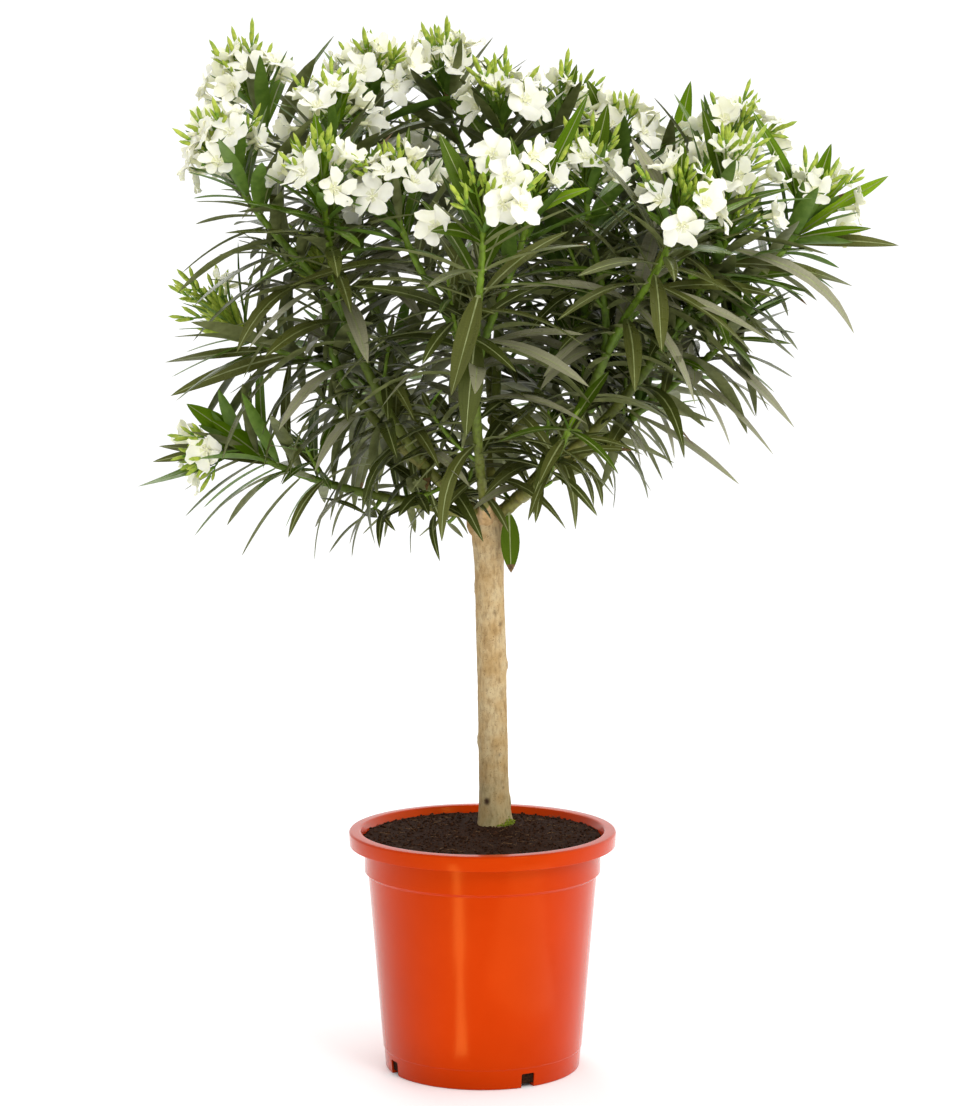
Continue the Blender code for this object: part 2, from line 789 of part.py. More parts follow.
def main():
    parts, pieces, cutters = start_empty()
    make_pot(parts, cutters)
    make_compost(parts)
    trunk = trunk_shape("trunk", parts)
    trunk.data.materials.append(material("trunk_bark", (0.42, 0.30, 0.16), 0.8))
    shade_round(trunk.data)
    lines = grow_limbs()
    space = Space(lines)
    make_boughs(lines, parts, pieces)
    for name, line in lines.items():
        make_mass(name, line, space, parts, pieces)


main()
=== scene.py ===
import math
import random

import bmesh
import bpy
import numpy as np
from mathutils import Matrix, Vector, noise


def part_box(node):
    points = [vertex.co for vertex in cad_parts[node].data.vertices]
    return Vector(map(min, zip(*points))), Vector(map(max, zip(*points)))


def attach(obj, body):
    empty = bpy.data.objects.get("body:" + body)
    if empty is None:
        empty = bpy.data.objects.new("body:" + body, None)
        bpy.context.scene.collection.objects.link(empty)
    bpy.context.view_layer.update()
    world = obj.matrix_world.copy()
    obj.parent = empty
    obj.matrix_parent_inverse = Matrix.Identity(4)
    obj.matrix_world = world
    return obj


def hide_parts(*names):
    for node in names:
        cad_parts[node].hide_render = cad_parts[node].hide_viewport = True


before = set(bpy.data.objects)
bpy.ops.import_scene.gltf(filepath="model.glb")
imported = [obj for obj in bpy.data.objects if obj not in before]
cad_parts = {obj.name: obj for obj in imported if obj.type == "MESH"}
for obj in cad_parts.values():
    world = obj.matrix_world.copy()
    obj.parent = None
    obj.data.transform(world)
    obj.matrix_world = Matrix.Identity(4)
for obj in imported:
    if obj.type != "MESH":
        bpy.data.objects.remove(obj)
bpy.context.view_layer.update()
up = np.array([0.0, 0.0, 1.0])
print("frame loaded:", len(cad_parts), "nodes")


# Small tools

def linear(code):
    # an sRGB hex colour as the linear values that a shader takes
    shares = [int(code[i:i + 2], 16) / 255 for i in (1, 3, 5)]
    return (*[c / 12.92 if c <= 0.04045 else ((c + 0.055) / 1.055) ** 2.4 for c in shares], 1)


def perMetre(size):
    # a pattern's scale from the size in millimetres of what it draws
    return 1000 / size


def clamped(share):
    return min(1, max(0, share))


def bell(offset, width):
    return math.exp(-((offset / width) ** 2))


def unit(vectors):
    return vectors / np.linalg.norm(vectors, axis=-1, keepdims=True)


def addNode(tree, kind, settings={}, links={}):
    node = tree.nodes.new("ShaderNode" + kind)
    for name, value in settings.items():
        if name == "stops":
            ramp = node.color_ramp
            while len(ramp.elements) < len(value):
                ramp.elements.new(0.5)
            for element, (place, colour) in zip(ramp.elements, value):
                element.position = place
                element.color = linear(colour)
        elif isinstance(name, str) and hasattr(node, name):
            setattr(node, name, value)
        else:
            node.inputs[name].default_value = value
    for name, source in links.items():
        tree.links.new(source, node.inputs[name])
    return node


class Surface:
    # a material in the making: its shader, and short ways to the patterns that feed it

    def __init__(self, name, values):
        self.made = bpy.data.materials.new(name)
        self.made.use_nodes = True
        self.tree = self.made.node_tree
        self.shader = self.tree.nodes["Principled BSDF"]
        for socket, value in values.items():
            self.shader.inputs[socket].default_value = value
        self.place = self.node("TexCoord", "Object")

    def node(self, kind, output, settings={}, links={}):
        return addNode(self.tree, kind, settings, links).outputs[output]

    def feed(self, socket, source):
        self.tree.links.new(source, self.shader.inputs[socket])

    def noise(self, size, detail=2, place=None, **settings):
        settings.update({"Scale": perMetre(size), "Detail": detail})
        return self.node("TexNoise", "Fac", settings, {"Vector": self.place if place is None else place})

    def drawnOut(self, height):
        # places that make a pattern taller than it is wide
        return self.node("Mapping", "Vector", {"Scale": (1, 1, height)}, {"Vector": self.place})

    def ramp(self, source, *stops):
        return self.node("ValToRGB", "Color", {"stops": stops}, {"Fac": source})

    def between(self, low, high, source):
        return self.node("MapRange", "Result", {"To Min": low, "To Max": high}, {"Value": source})

    def multiplied(self, share, colour, other):
        settings = {"data_type": "RGBA", "blend_type": "MULTIPLY", 0: share}
        return self.node("Mix", 2, settings, {6: colour, 7: other})

    def tinted(self, share, colour, tint):
        return self.node("Mix", 2, {"data_type": "RGBA", 7: linear(tint)}, {0: share, 6: colour})

    def bump(self, source, strength, depth):
        settings = {"Strength": strength, "Distance": depth}
        self.feed("Normal", self.node("Bump", "Normal", settings, {"Height": source}))


def plantSurface(name, colours, size, roughness):
    # a plain soft part of a plant, clouded between two colours
    plain = Surface(name, {"Roughness": roughness, "Specular IOR Level": 0.3})
    plain.feed("Base Color", plain.ramp(plain.noise(size, 4), (0.35, colours[0]), (0.65, colours[1])))
    return plain.made


def addObject(name, data):
    thing = bpy.data.objects.new(name, data)
    bpy.context.scene.collection.objects.link(thing)
    return thing


def addPiece(name, mesh, materials, slot, *nodes):
    for surface in materials:
        mesh.materials.append(surface)
    piece = addObject(name, mesh)
    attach(piece, "root")
    if nodes:
        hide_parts(*nodes)
    print("made", name, len(mesh.polygons), "faces")


def smoothed(mesh, sharpAngle):
    mesh.shade_smooth()
    mesh.set_sharp_from_angle(angle=math.radians(sharpAngle))
    return mesh


def meshFrom(shape, name, sharpAngle=40):
    bmesh.ops.recalc_face_normals(shape, faces=shape.faces)
    mesh = bpy.data.meshes.new(name)
    shape.to_mesh(mesh)
    shape.free()
    return smoothed(mesh, sharpAngle)


def asArrays(shape):
    verts = np.array([v.co[:] for v in shape.verts])
    faces = [[v.index for v in face.verts] for face in shape.faces]
    slots = [face.material_index for face in shape.faces]
    shape.free()
    return verts, faces, slots


def joinCopies(name, *kinds):
    # each kind is a shape's verts, faces and slots, and a matrix for every copy of it that goes into the mesh
    allVerts, allFaces, allSlots, offset = [], [], [], 0
    for verts, faces, slots, matrices in kinds:
        matrices = np.array(matrices)
        placed = np.einsum("nij,vj->nvi", matrices[:, :3, :3], verts) + matrices[:, None, :3, 3]
        allVerts.append(placed.reshape(-1, 3))
        for start in range(offset, offset + len(matrices) * len(verts), len(verts)):
            allFaces.extend([[start + v for v in face] for face in faces])
        allSlots.extend(slots * len(matrices))
        offset += len(verts) * len(matrices)
    mesh = bpy.data.meshes.new(name)
    mesh.from_pydata(np.vstack(allVerts), [], allFaces)
    mesh.polygons.foreach_set("material_index", allSlots)
    return smoothed(mesh, 60)


def facing(way):
    return Vector(way).to_track_quat("Z", "Y").to_matrix().to_4x4()


def placed(place, way, size):
    # a matrix that lays a shape's own Z along `way`, with its own three sizes
    return np.array(Matrix.Translation(place) @ facing(way) @ Matrix.Diagonal((*size, 1)))


# Stage, light and camera

stage = {
    "floorRadius": 40.0,
    "floorDrop": 0.0004,
    "paper": ("#fdfdfd", "#ffffff"),
    # how bright the room is to the left, straight ahead and to the right, and where it turns from one to the next
    "room": (0.70, 1.10, 1.68),
    "roomTurns": (0.25, 0.9),
    "lamps": {
        "key": {"place": (1.5, -2.2, 2.2), "aim": (0.0, 0.0, 0.55), "size": (1.0, 1.0), "watts": 25},
        "back": {"place": (-0.5, 1.7, 2.3), "aim": (0.0, 0.1, 0.85), "size": (1.2, 1.2), "watts": 20},
        # these lie on the floor in front, and give the pot its upright highlight and its lighter right side
        "strip": {"place": (-0.202, -0.487, 0.004), "size": (0.060, 0.45), "turn": -25, "watts": 0.55},
        "nearStrip": {"place": (-0.073, -0.210, 0.004), "size": (0.026, 0.16), "turn": -25, "watts": 0.08},
        "panel": {"place": (0.270, -0.334, 0.004), "size": (0.30, 0.45), "turn": 44, "watts": 0.46},
    },
}

view = {"place": (0.0024, -2.79, 0.809), "tiltDown": 6.26, "lens": 94.82, "sensor": 36}


def makeStage():
    # matte paper shows only the faintest clouding
    paper = Surface("matteBackgroundPaper", {"Roughness": 1, "Specular IOR Level": 0})
    paper.feed("Base Color", paper.ramp(paper.noise(400), *enumerate(stage["paper"])))
    shape = bmesh.new()
    bmesh.ops.create_circle(shape, cap_ends=True, segments=96, radius=stage["floorRadius"])
    bmesh.ops.translate(shape, verts=shape.verts, vec=(0, 0, -stage["floorDrop"]))
    mesh = meshFrom(shape, "floor")
    mesh.materials.append(paper.made)
    floor = addObject("floor", mesh)

    world = bpy.data.worlds.new("studio")
    bpy.context.scene.world = world
    world.use_nodes = True
    tree = world.node_tree
    background = tree.nodes["Background"]
    background.inputs["Color"].default_value = (1, 1, 1, 1)
    side = addNode(tree, "TexCoord").outputs["Generated"]
    across = addNode(tree, "SeparateXYZ", {}, {"Vector": side}).outputs["X"]
    left, ahead, right = stage["room"]
    near, far = stage["roomTurns"]

    def fade(start, end, low, high):
        settings = {"From Min": start, "From Max": end, "To Min": low, "To Max": high}
        return addNode(tree, "MapRange", settings, {"Value": across}).outputs["Result"]

    both = addNode(tree, "Math", {}, {0: fade(-far, -near, left, ahead), 1: fade(near, far, 0, right - ahead)})
    tree.links.new(both.outputs["Value"], background.inputs["Strength"])
    for name, lamp in stage["lamps"].items():
        data = bpy.data.lights.new(name, "AREA")
        data.shape = "RECTANGLE"
        data.size, data.size_y = lamp["size"]
        data.energy = lamp["watts"]
        light = addObject(name, data)
        light.location = lamp["place"]
        way = Vector(lamp["aim"]) - Vector(lamp["place"]) if "aim" in lamp else Vector((0, 0, 1))
        turn = Matrix.Rotation(math.radians(lamp.get("turn", 0)), 3, way)
        light.rotation_euler = (turn @ way.to_track_quat("-Z", "Y").to_matrix()).to_euler()


def makeCamera():
    data = bpy.data.cameras.new("camera")
    data.sensor_width = view["sensor"]
    data.lens = view["lens"]
    data.clip_end = 200
    eye = addObject("camera", data)
    eye.location = view["place"]
    eye.rotation_euler = (math.radians(90 - view["tiltDown"]), 0, 0)
    bpy.context.scene.camera = eye
    bpy.context.scene.view_settings.view_transform = "Standard"


makeCamera()
makeStage()


# Pot: one turned shell, with drain notches cut in its foot

pot = {
    "height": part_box("pot")[1].z,
    "rimRadius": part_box("pot")[1].x,
    "rimWidth": 0.0115,
    "rimDepth": 0.0145,
    # the rim's rounded top, how far its corners drop, its lip's foot, and the groove behind that
    "crown": 0.0014,
    "drops": (0.0008, 0.0002, 0.0018),
    "lipWidths": (0.0006, 0.0022),
    "groove": 0.0030,
    "collarRadius": 0.1150,
    "collarDepth": 0.0270,
    "ledgeWidth": 0.0036,
    "ledgeDepth": 0.0014,
    "footRadius": 0.0955,
    "bandTop": 0.0195,
    "bandStep": 0.0007,
    "wall": 0.0024,
    "floor": 0.0030,
    "steps": 144,
    "rounding": 0.0011,
    "notches": 4,
    "notchSize": 0.0136,
    "notchRounding": 0.0016,
    "notchBearing": -63,
    "plastic": ("#b02d02", "#b73104"),
    "sheen": "#ffa83c",
    "gloss": (0.15, 0.23),
}
ledgeHeight = pot["height"] - pot["rimDepth"] - pot["collarDepth"]


def wallRadius(z):
    top = pot["collarRadius"] - pot["ledgeWidth"]
    return pot["footRadius"] + (top - pot["footRadius"]) * z / ledgeHeight


def plasticMaterial():
    # polypropylene, injection moulded and left unpainted: even, saturated and waxy, with soft highlights
    plastic = Surface("mouldedPolypropylene", {"IOR": 1.38, "Specular Tint": linear(pot["sheen"])})
    dull, fresh = pot["plastic"]
    plastic.feed("Base Color", plastic.ramp(plastic.noise(70, 3), (0.3, dull), (0.7, fresh)))
    # the mould's polish differs a little from place to place, and handling leaves fine dull smears
    smears = plastic.noise(9, 5, plastic.drawnOut(0.35))
    plastic.feed("Roughness", plastic.between(*pot["gloss"], smears))
    # shrinkage in the mould leaves a faint ripple about 6 mm long
    plastic.bump(plastic.noise(6), 0.10, 0.0003)
    return plastic.made


def potOutline():
    top, rim, collar, floor, wall = (pot[k] for k in ("height", "rimRadius", "collarRadius", "floor", "wall"))
    rimZ = top - pot["rimDepth"]
    mouth = rim - pot["rimWidth"]
    crown, groove, half = pot["crown"], pot["groove"], pot["ledgeDepth"]
    band, step = pot["bandTop"], pot["bandStep"]
    innerDrop, crownDrop, outerDrop = pot["drops"]
    lip, lipFoot = pot["lipWidths"]
    return [
        (0, floor),
        (wallRadius(floor) - wall, floor),
        (wallRadius(ledgeHeight) - wall, ledgeHeight - half),
        (collar - wall, ledgeHeight + half),
        (collar - wall, rimZ),
        (mouth, top - innerDrop),
        (mouth + crown, top),
        (rim - crown, top - crownDrop),
        (rim, top - outerDrop),
        (rim - lip, rimZ),
        (rim - lipFoot, rimZ),
        (rim - groove, rimZ + groove),
        (collar, rimZ + groove),
        (collar, ledgeHeight + half),
        (wallRadius(ledgeHeight), ledgeHeight - half),
        (wallRadius(band), band),
        (wallRadius(band) - step, band - step),
        (pot["footRadius"] - step, 0),
        (0, 0),
    ]


def addNotchCutter(i):
    size = pot["notchSize"]
    cut = bmesh.new()
    bmesh.ops.create_cube(cut, size=1)
    bmesh.ops.scale(cut, verts=cut.verts, vec=(4 * size, size, 2 * size))
    spans = [(e, e.verts[0].co - e.verts[1].co) for e in cut.edges]
    inward = [e for e, span in spans if abs(span.z) < 1e-6 and abs(span.x) > 1e-3]
    bmesh.ops.bevel(
        cut, geom=inward, offset=pot["notchRounding"], segments=3, profile=0.5, affect="EDGES", material=-1
    )
    turn = math.radians(pot["notchBearing"]) + i * math.tau / pot["notches"]
    bmesh.ops.translate(cut, verts=cut.verts, vec=(pot["footRadius"], 0, 0))
    bmesh.ops.rotate(cut, verts=cut.verts, cent=(0, 0, 0), matrix=Matrix.Rotation(turn, 3, "Z"))
    return addObject(f"notch{i}", meshFrom(cut, f"notch{i}"))


def makePot():
    shape = bmesh.new()
    corners = [shape.verts.new((r, 0, z)) for r, z in potOutline()]
    for pair in zip(corners, corners[1:]):
        shape.edges.new(pair)
    bmesh.ops.spin(
        shape, geom=shape.verts[:] + shape.edges[:], cent=(0, 0, 0), axis=(0, 0, 1),
        angle=math.tau, steps=pot["steps"], use_merge=True,
    )
    bmesh.ops.remove_doubles(shape, verts=shape.verts, dist=1e-6)
    bmesh.ops.recalc_face_normals(shape, faces=shape.faces)
    rings = [e for e in shape.edges if len(e.link_faces) == 2 and e.calc_face_angle() > math.radians(15)]
    bmesh.ops.bevel(
        shape, geom=rings, offset=pot["rounding"], offset_type="OFFSET", segments=3,
        profile=0.5, affect="EDGES", clamp_overlap=True, material=-1,
    )
    draft = addObject("potDraft", meshFrom(shape, "pot", 35))
    cutters = [addNotchCutter(i) for i in range(pot["notches"])]
    for cutter in cutters:
        change = draft.modifiers.new(cutter.name, "BOOLEAN")
        change.operation = "DIFFERENCE"
        change.object = cutter
    graph = bpy.context.evaluated_depsgraph_get()
    finished = bpy.data.meshes.new_from_object(draft.evaluated_get(graph))
    for thing in [draft, *cutters]:
        bpy.data.objects.remove(thing)
    finished.set_sharp_from_angle(angle=math.radians(35))
    addPiece("pot_shell", finished, [plasticMaterial()], "pot_plastic", "pot")


makePot()


# Compost: a plug with a rough top, and the crumbs and fibres that lie on it

compost = {
    "top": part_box("compost")[1].z,
    "edge": 0.2275,
    "flatRadius": 0.062,
    # a low ring of compost round the trunk's foot: where, how high, how far out and how wide
    "mound": ((0.012, 0.034), 0.0016, 0.018, 0.012),
    "around": 200,
    "across": 46,
    "roughness": 0.0016,
    "crumbs": 1500,
    "crumbSize": (0.0006, 0.0017),
    "fibres": 170,
    "fibreLength": (0.004, 0.013),
    "clearance": 0.0003,
    "seed": 5,
}


def compostHeight(x, y):
    reach = (math.hypot(x, y) - compost["flatRadius"]) / (pot["collarRadius"] - compost["flatRadius"])
    level = compost["top"] + (compost["edge"] - compost["top"]) * clamped(reach)
    broad = noise.fractal(Vector((x, y, 0)) * perMetre(22), 0.9, 2.1, 3)
    fine = noise.fractal(Vector((x, y, 3)) * perMetre(3.2), 0.7, 2.2, 4)
    foot, height, out, wide = compost["mound"]
    mound = height * bell(math.hypot(x - foot[0], y - foot[1]) - out, wide)
    return level - compost["roughness"] * 0.9 + mound + compost["roughness"] * (0.55 * broad + 0.40 * fine)


def peatMaterial(name, dark, light, size):
    # peat and composted bark, milled and damp: nearly black, matt, with paler crumbs where it has dried
    peat = Surface(name, {"Roughness": 0.93, "Specular IOR Level": 0.06})
    grain = peat.noise(size, 6)
    peat.feed("Base Color", peat.ramp(grain, (0.36, dark), (0.72, light)))
    peat.bump(grain, 0.8, 0.0008)
    return peat.made


def crumbShape(seed):
    shape = bmesh.new()
    bmesh.ops.create_icosphere(shape, subdivisions=1, radius=1)
    for vertex in shape.verts:
        vertex.co *= 1 + 0.45 * noise.noise(vertex.co * 1.3 + Vector((seed, 7, 1)))
    return asArrays(shape)


def spindleShape(sides):
    # round at its foot, and drawn to a point above its middle
    shape = bmesh.new()
    bmesh.ops.create_uvsphere(shape, u_segments=sides, v_segments=4, radius=1)
    for vertex in shape.verts:
        share = (vertex.co.z + 1) / 2
        vertex.co.z = share
        if share > 0.5:
            wide = min(1.2, 2 * (1 - share) / max(1e-6, math.sqrt(1 - (2 * share - 1) ** 2) or 1))
            vertex.co.x *= wide
            vertex.co.y *= wide
    return asArrays(shape)


def onTop(chance, mouth):
    r, turn = mouth * math.sqrt(chance.random()), chance.uniform(0, math.tau)
    return r * math.cos(turn), r * math.sin(turn)


def makeCompost():
    reach = pot["collarRadius"] - pot["wall"] + 0.0020
    shape = bmesh.new()
    bmesh.ops.create_grid(shape, x_segments=compost["around"], y_segments=compost["across"], size=0.5)
    for vertex in shape.verts:
        turn = (vertex.co.x + 0.5) * math.tau
        r = reach * (vertex.co.y + 0.5)
        x, y = r * math.cos(turn), r * math.sin(turn)
        vertex.co = (x, y, compostHeight(x, y))
    bmesh.ops.remove_doubles(shape, verts=shape.verts, dist=1e-6)
    # the plug's side follows the pot's inner wall down to its floor
    clear = compost["clearance"]
    inside = pot["wall"] + clear
    levels = [
        (pot["collarRadius"] - inside, pot["height"] - pot["rimDepth"] - clear),
        (pot["collarRadius"] - inside, ledgeHeight + pot["ledgeDepth"] + clear),
        (wallRadius(ledgeHeight) - inside, ledgeHeight - pot["ledgeDepth"]),
        (wallRadius(pot["floor"]) - inside, pot["floor"] + clear),
    ]
    ring = [e for e in shape.edges if len(e.link_faces) == 1]
    for radius, z in levels:
        made = bmesh.ops.extrude_edge_only(shape, edges=ring)["geom"]
        ring = [e for e in made if isinstance(e, bmesh.types.BMEdge) and len(e.link_faces) == 1]
        for vertex in {v for e in ring for v in e.verts}:
            flat = vertex.co.xy.normalized() * radius
            vertex.co = (flat.x, flat.y, z)
    bmesh.ops.contextual_create(shape, geom=ring)
    dark = peatMaterial("dampPeatCompost", "#1a0e08", "#3d2618", 1.6)
    addPiece("compost_plug", meshFrom(shape, "compost", 80), [dark], "compost", "compost")


def makeCrumbsAndFibres():
    chance = random.Random(compost["seed"])
    crumbs = [(*crumbShape(seed), []) for seed in range(4)]
    mouth = pot["rimRadius"] - pot["rimWidth"] - 0.003
    for i in range(compost["crumbs"]):
        x, y = onTop(chance, mouth)
        size = chance.uniform(*compost["crumbSize"]) * (1.7 if chance.random() < 0.06 else 1)
        way = (chance.uniform(-1, 1), chance.uniform(-1, 1), chance.uniform(0.2, 1))
        stretch = (size, size * chance.uniform(0.6, 1), size * chance.uniform(0.5, 0.9))
        crumbs[i % 4][3].append(placed((x, y, compostHeight(x, y) + size * 0.3), way, stretch))
    dried = peatMaterial("driedPeatCrumbs", "#1c0f08", "#4a2f1e", 2.4)
    addPiece("compost_crumbs", joinCopies("crumbs", *crumbs), [dried], "compost")
    fibres = (*spindleShape(3), [])
    for _ in range(compost["fibres"]):
        x, y = onTop(chance, mouth)
        way = (chance.uniform(-1, 1), chance.uniform(-1, 1), chance.uniform(-0.05, 0.22))
        thick = chance.uniform(0.00018, 0.00045)
        size = (thick, thick, chance.uniform(*compost["fibreLength"]))
        fibres[3].append(placed((x, y, compostHeight(x, y) + 0.0005), way, size))
    straw = peatMaterial("barkFibre", "#3d2b1c", "#806347", 1.2)
    addPiece("compost_fibres", joinCopies("fibres", fibres), [straw], "compost")


makeCompost()
makeCrumbsAndFibres()


# Trunk: a sleeve of bark over the trunk's own axis

trunk = {
    "foot": (0.012, 0.034),
    "fork": (0.005, 0.020, 0.541),
    "bow": (0.0006, 0.0010),
    "radius": 0.0146,
    "taper": 0.0006,
    "flare": 0.0036,
    "flareHeight": 0.014,
    "swell": 0.0022,
    "swellHeight": 0.020,
    "sunk": 0.004,
    "around": 96,
    "along": 300,
    "lumps": 0.00060,
    "cracks": 0.00018,
    "wrinkles": 0.00012,
    # fluting and torn bark at the foot, and the damp that climbs from it: how much, how far up
    "torn": (0.0016, 0.008),
    "damp": (0.95, 0.075),
    # the pruned top's worn shoulder and the scar below it: how far down, how wide, how much
    "shoulder": (0.0050, 0.0016, 0.0007),
    "scar": (0.0072, 0.0010, 0.30),
    "topRound": (0.0035, 0.0098),
    "moss": 90,
    "mossBearing": -38,
    "seed": 8,
    # knots: height, bearing, size, how far they stand out, how dark they are
    "knots": [
        (0.2568, -118, 0.0046, 0.0008, 1.0),
        (0.4661, 176, 0.0050, 0.0014, 0.30),
        (0.3898, -8, 0.0042, 0.0024, 0.25),
        (0.3152, 172, 0.0040, 0.0018, 0.30),
        (0.2546, -4, 0.0050, 0.0020, 0.35),
        (0.4300, 60, 0.0050, 0.0016, 0.6),
        (0.3400, 95, 0.0060, 0.0014, 0.8),
        (0.4440, -74, 0.0026, 0.0003, 0.45),
        (0.4320, -48, 0.0030, 0.0004, 0.40),
        (0.3030, -66, 0.0022, 0.0003, 0.45),
        (0.2700, -52, 0.0020, 0.0003, 0.50),
        (0.5100, -140, 0.0040, 0.0006, 0.25),
    ],
}
trunkFoot = np.array([*trunk["foot"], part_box("trunk")[0].z])
fork = np.array(trunk["fork"])


def bezier(a, b, c, d, count):
    t = np.linspace(0, 1, count)[:, None]
    return a * (1 - t) ** 3 + 3 * b * t * (1 - t) ** 2 + 3 * c * t * t * (1 - t) + d * t**3


class Limb:
    # a line that knows the place and the direction at any distance along it

    def __init__(self, points):
        self.points = np.array(points, float)
        steps = np.linalg.norm(np.diff(self.points, axis=0), axis=1)
        self.marks = np.concatenate([[0], np.cumsum(steps)])
        self.length = self.marks[-1]

    def piece(self, start, end, count):
        return Limb([self.at(start + (end - start) * i / count)[0] for i in range(count + 1)])

    def at(self, distance):
        distance = min(max(distance, 0), self.length)
        i = min(max(np.searchsorted(self.marks, distance) - 1, 0), len(self.points) - 2)
        step = self.points[i + 1] - self.points[i]
        share = (distance - self.marks[i]) / np.linalg.norm(step)
        return self.points[i] + step * share, unit(step)


def trunkLimb():
    middle = (trunkFoot + fork) / 2 + np.array([*trunk["bow"], 0])
    t = np.linspace(0, 1, 60)[:, None]
    low = trunkFoot + (middle - trunkFoot) * t
    high = middle + (fork - middle) * t
    return Limb(low + (high - low) * t)


def trunkRadius(z):
    height = fork[2] - trunkFoot[2]
    rise = z - trunkFoot[2]
    flare = trunk["flare"] * math.exp(-rise / trunk["flareHeight"])
    swell = trunk["swell"] * bell(height - trunk["swellHeight"] - rise, trunk["swellHeight"])
    return trunk["radius"] - trunk["taper"] * rise / height + flare + swell


def sleeve(shape, limb, start, end, around, along, radiusAt, marks):
    # a grid rolled round a limb's line, closed to a point at both ends
    grid = bmesh.ops.create_grid(shape, x_segments=around, y_segments=along, size=0.5)["verts"]
    ways, places = [], []
    for i in range(along + 1):
        place, way = limb.at(start + (end - start) * i / along)
        places.append(place)
        ways.append(way)
    side = unit(np.cross(ways[0], [0.31, 0.95, 0.05]))
    sides = []
    for way in ways:
        side = unit(side - way * np.dot(side, way))
        sides.append(side)
    made = []
    for vertex in grid:
        row = round((vertex.co.y + 0.5) * along)
        turn = (vertex.co.x + 0.5) * math.tau
        out = sides[row] * math.cos(turn) + np.cross(ways[row], sides[row]) * math.sin(turn)
        distance = start + (end - start) * row / along
        radius, mark = radiusAt(distance, turn, out, places[row])
        if row in (0, along):
            radius = 1e-7
        vertex.co = places[row] + out * radius
        vertex[marks] = mark
        made.append(vertex)
    bmesh.ops.remove_doubles(shape, verts=made, dist=2e-6)


def barkMaterial():
    # oleander bark on a pruned stem: thin, smooth and buff, clouded and freckled with pores, and green low down
    bark = Surface("smoothBuffBark", {"Roughness": 0.80, "Specular IOR Level": 0.25})
    mark = bark.node("Attribute", "Color", {"attribute_name": "dark"})
    marks = addNode(bark.tree, "SeparateColor", {}, {"Color": mark}).outputs
    cloud = bark.noise(17, 5)
    tone = bark.ramp(cloud, (0.34, "#ac8e5f"), (0.47, "#ba9f73"), (0.62, "#c3ad85"))
    mottle = bark.noise(3.4, 7, bark.drawnOut(0.35), Roughness=0.6)
    tone = bark.multiplied(0.50, tone, bark.ramp(mottle, (0.34, "#9d8a6e"), (0.54, "#ffffff")))
    pores = bark.noise(1.3)
    tone = bark.multiplied(0.7, tone, bark.ramp(pores, (0.27, "#6f5536"), (0.38, "#ffffff")))
    green = bark.node("Math", "Value", {"operation": "MULTIPLY"}, {0: marks["Green"], 1: cloud})
    tone = bark.tinted(green, tone, "#6f6b3c")
    # the dark mark holds the knots and the scar below the shoulder, and painted shade down in the cracks
    bark.feed("Base Color", bark.tinted(marks["Red"], tone, "#35200f"))
    bark.bump(mottle, 0.3, 0.0004)
    return bark.made


def makeTrunk():
    line = trunkLimb()
    shape = bmesh.new()
    marks = shape.verts.layers.float_color.new("dark")
    crown = Limb(np.vstack([trunkFoot - up * trunk["sunk"], line.points, fork + up * 0.006]))

    def radiusAt(distance, turn, out, place):
        a, b, z = out[0], out[1], place[2]
        rise = max(0, z - trunkFoot[2])
        radius = trunkRadius(trunkFoot[2] + rise)
        lumps = noise.fractal(Vector((a * 1.5, b * 1.5, z * 22)), 1.0, 2.0, 3)
        cracks = noise.fractal(Vector((a * 7.5, b * 7.5, z * 120)), 0.8, 2.2, 4)
        wrinkles = noise.noise(Vector((a * 0.8, b * 0.8, z * 260)))
        radius += trunk["lumps"] * lumps + trunk["cracks"] * cracks + trunk["wrinkles"] * wrinkles
        # the bark is darkened down in its cracks, as deep as they cut: painted shade in their hollows
        dark = max(0.0, -cracks - 0.35) * 0.5
        torn, tornReach = trunk["torn"]
        radius += math.exp(-rise / tornReach) * torn * noise.noise(Vector((a * 3.4, b * 3.4, 2.0)))
        damp, dampReach = trunk["damp"]
        for height, bearing, size, stand, depth in trunk["knots"]:
            away = math.radians(bearing)
            across = math.acos(max(-1, min(1, a * math.cos(away) + b * math.sin(away)))) * radius
            gap = math.hypot(across, (z - height) * 0.85) / size
            if gap < 3:
                radius += stand * (bell(gap, 1) - 0.75 * bell(gap, 0.38))
                dark += depth * math.exp(-((gap / 0.72) ** 4))
        over = z - fork[2] + 0.004 * a
        down, wide, stand = trunk["shoulder"]
        radius += stand * bell(over + down, wide)
        down, wide, depth = trunk["scar"]
        dark += depth * bell(over + down, wide) * (0.5 + noise.noise(Vector((a * 2, b * 2, 9))))
        below, tall = trunk["topRound"]
        share = clamped((over + below) / tall)
        ragged = 1 + 0.09 * share * noise.noise(Vector((a * 3, b * 3, z * 200)))
        radius *= math.sqrt(max(0.01, 1 - share**3.2)) * ragged
        return radius, (clamped(dark), damp * math.exp(-rise / dampReach), 0, 1)

    sleeve(shape, crown, 0, crown.length, trunk["around"], trunk["along"], radiusAt, marks)
    addPiece("trunk_bark_sleeve", meshFrom(shape, "trunk", 60), [barkMaterial()], "trunk_bark", "trunk")


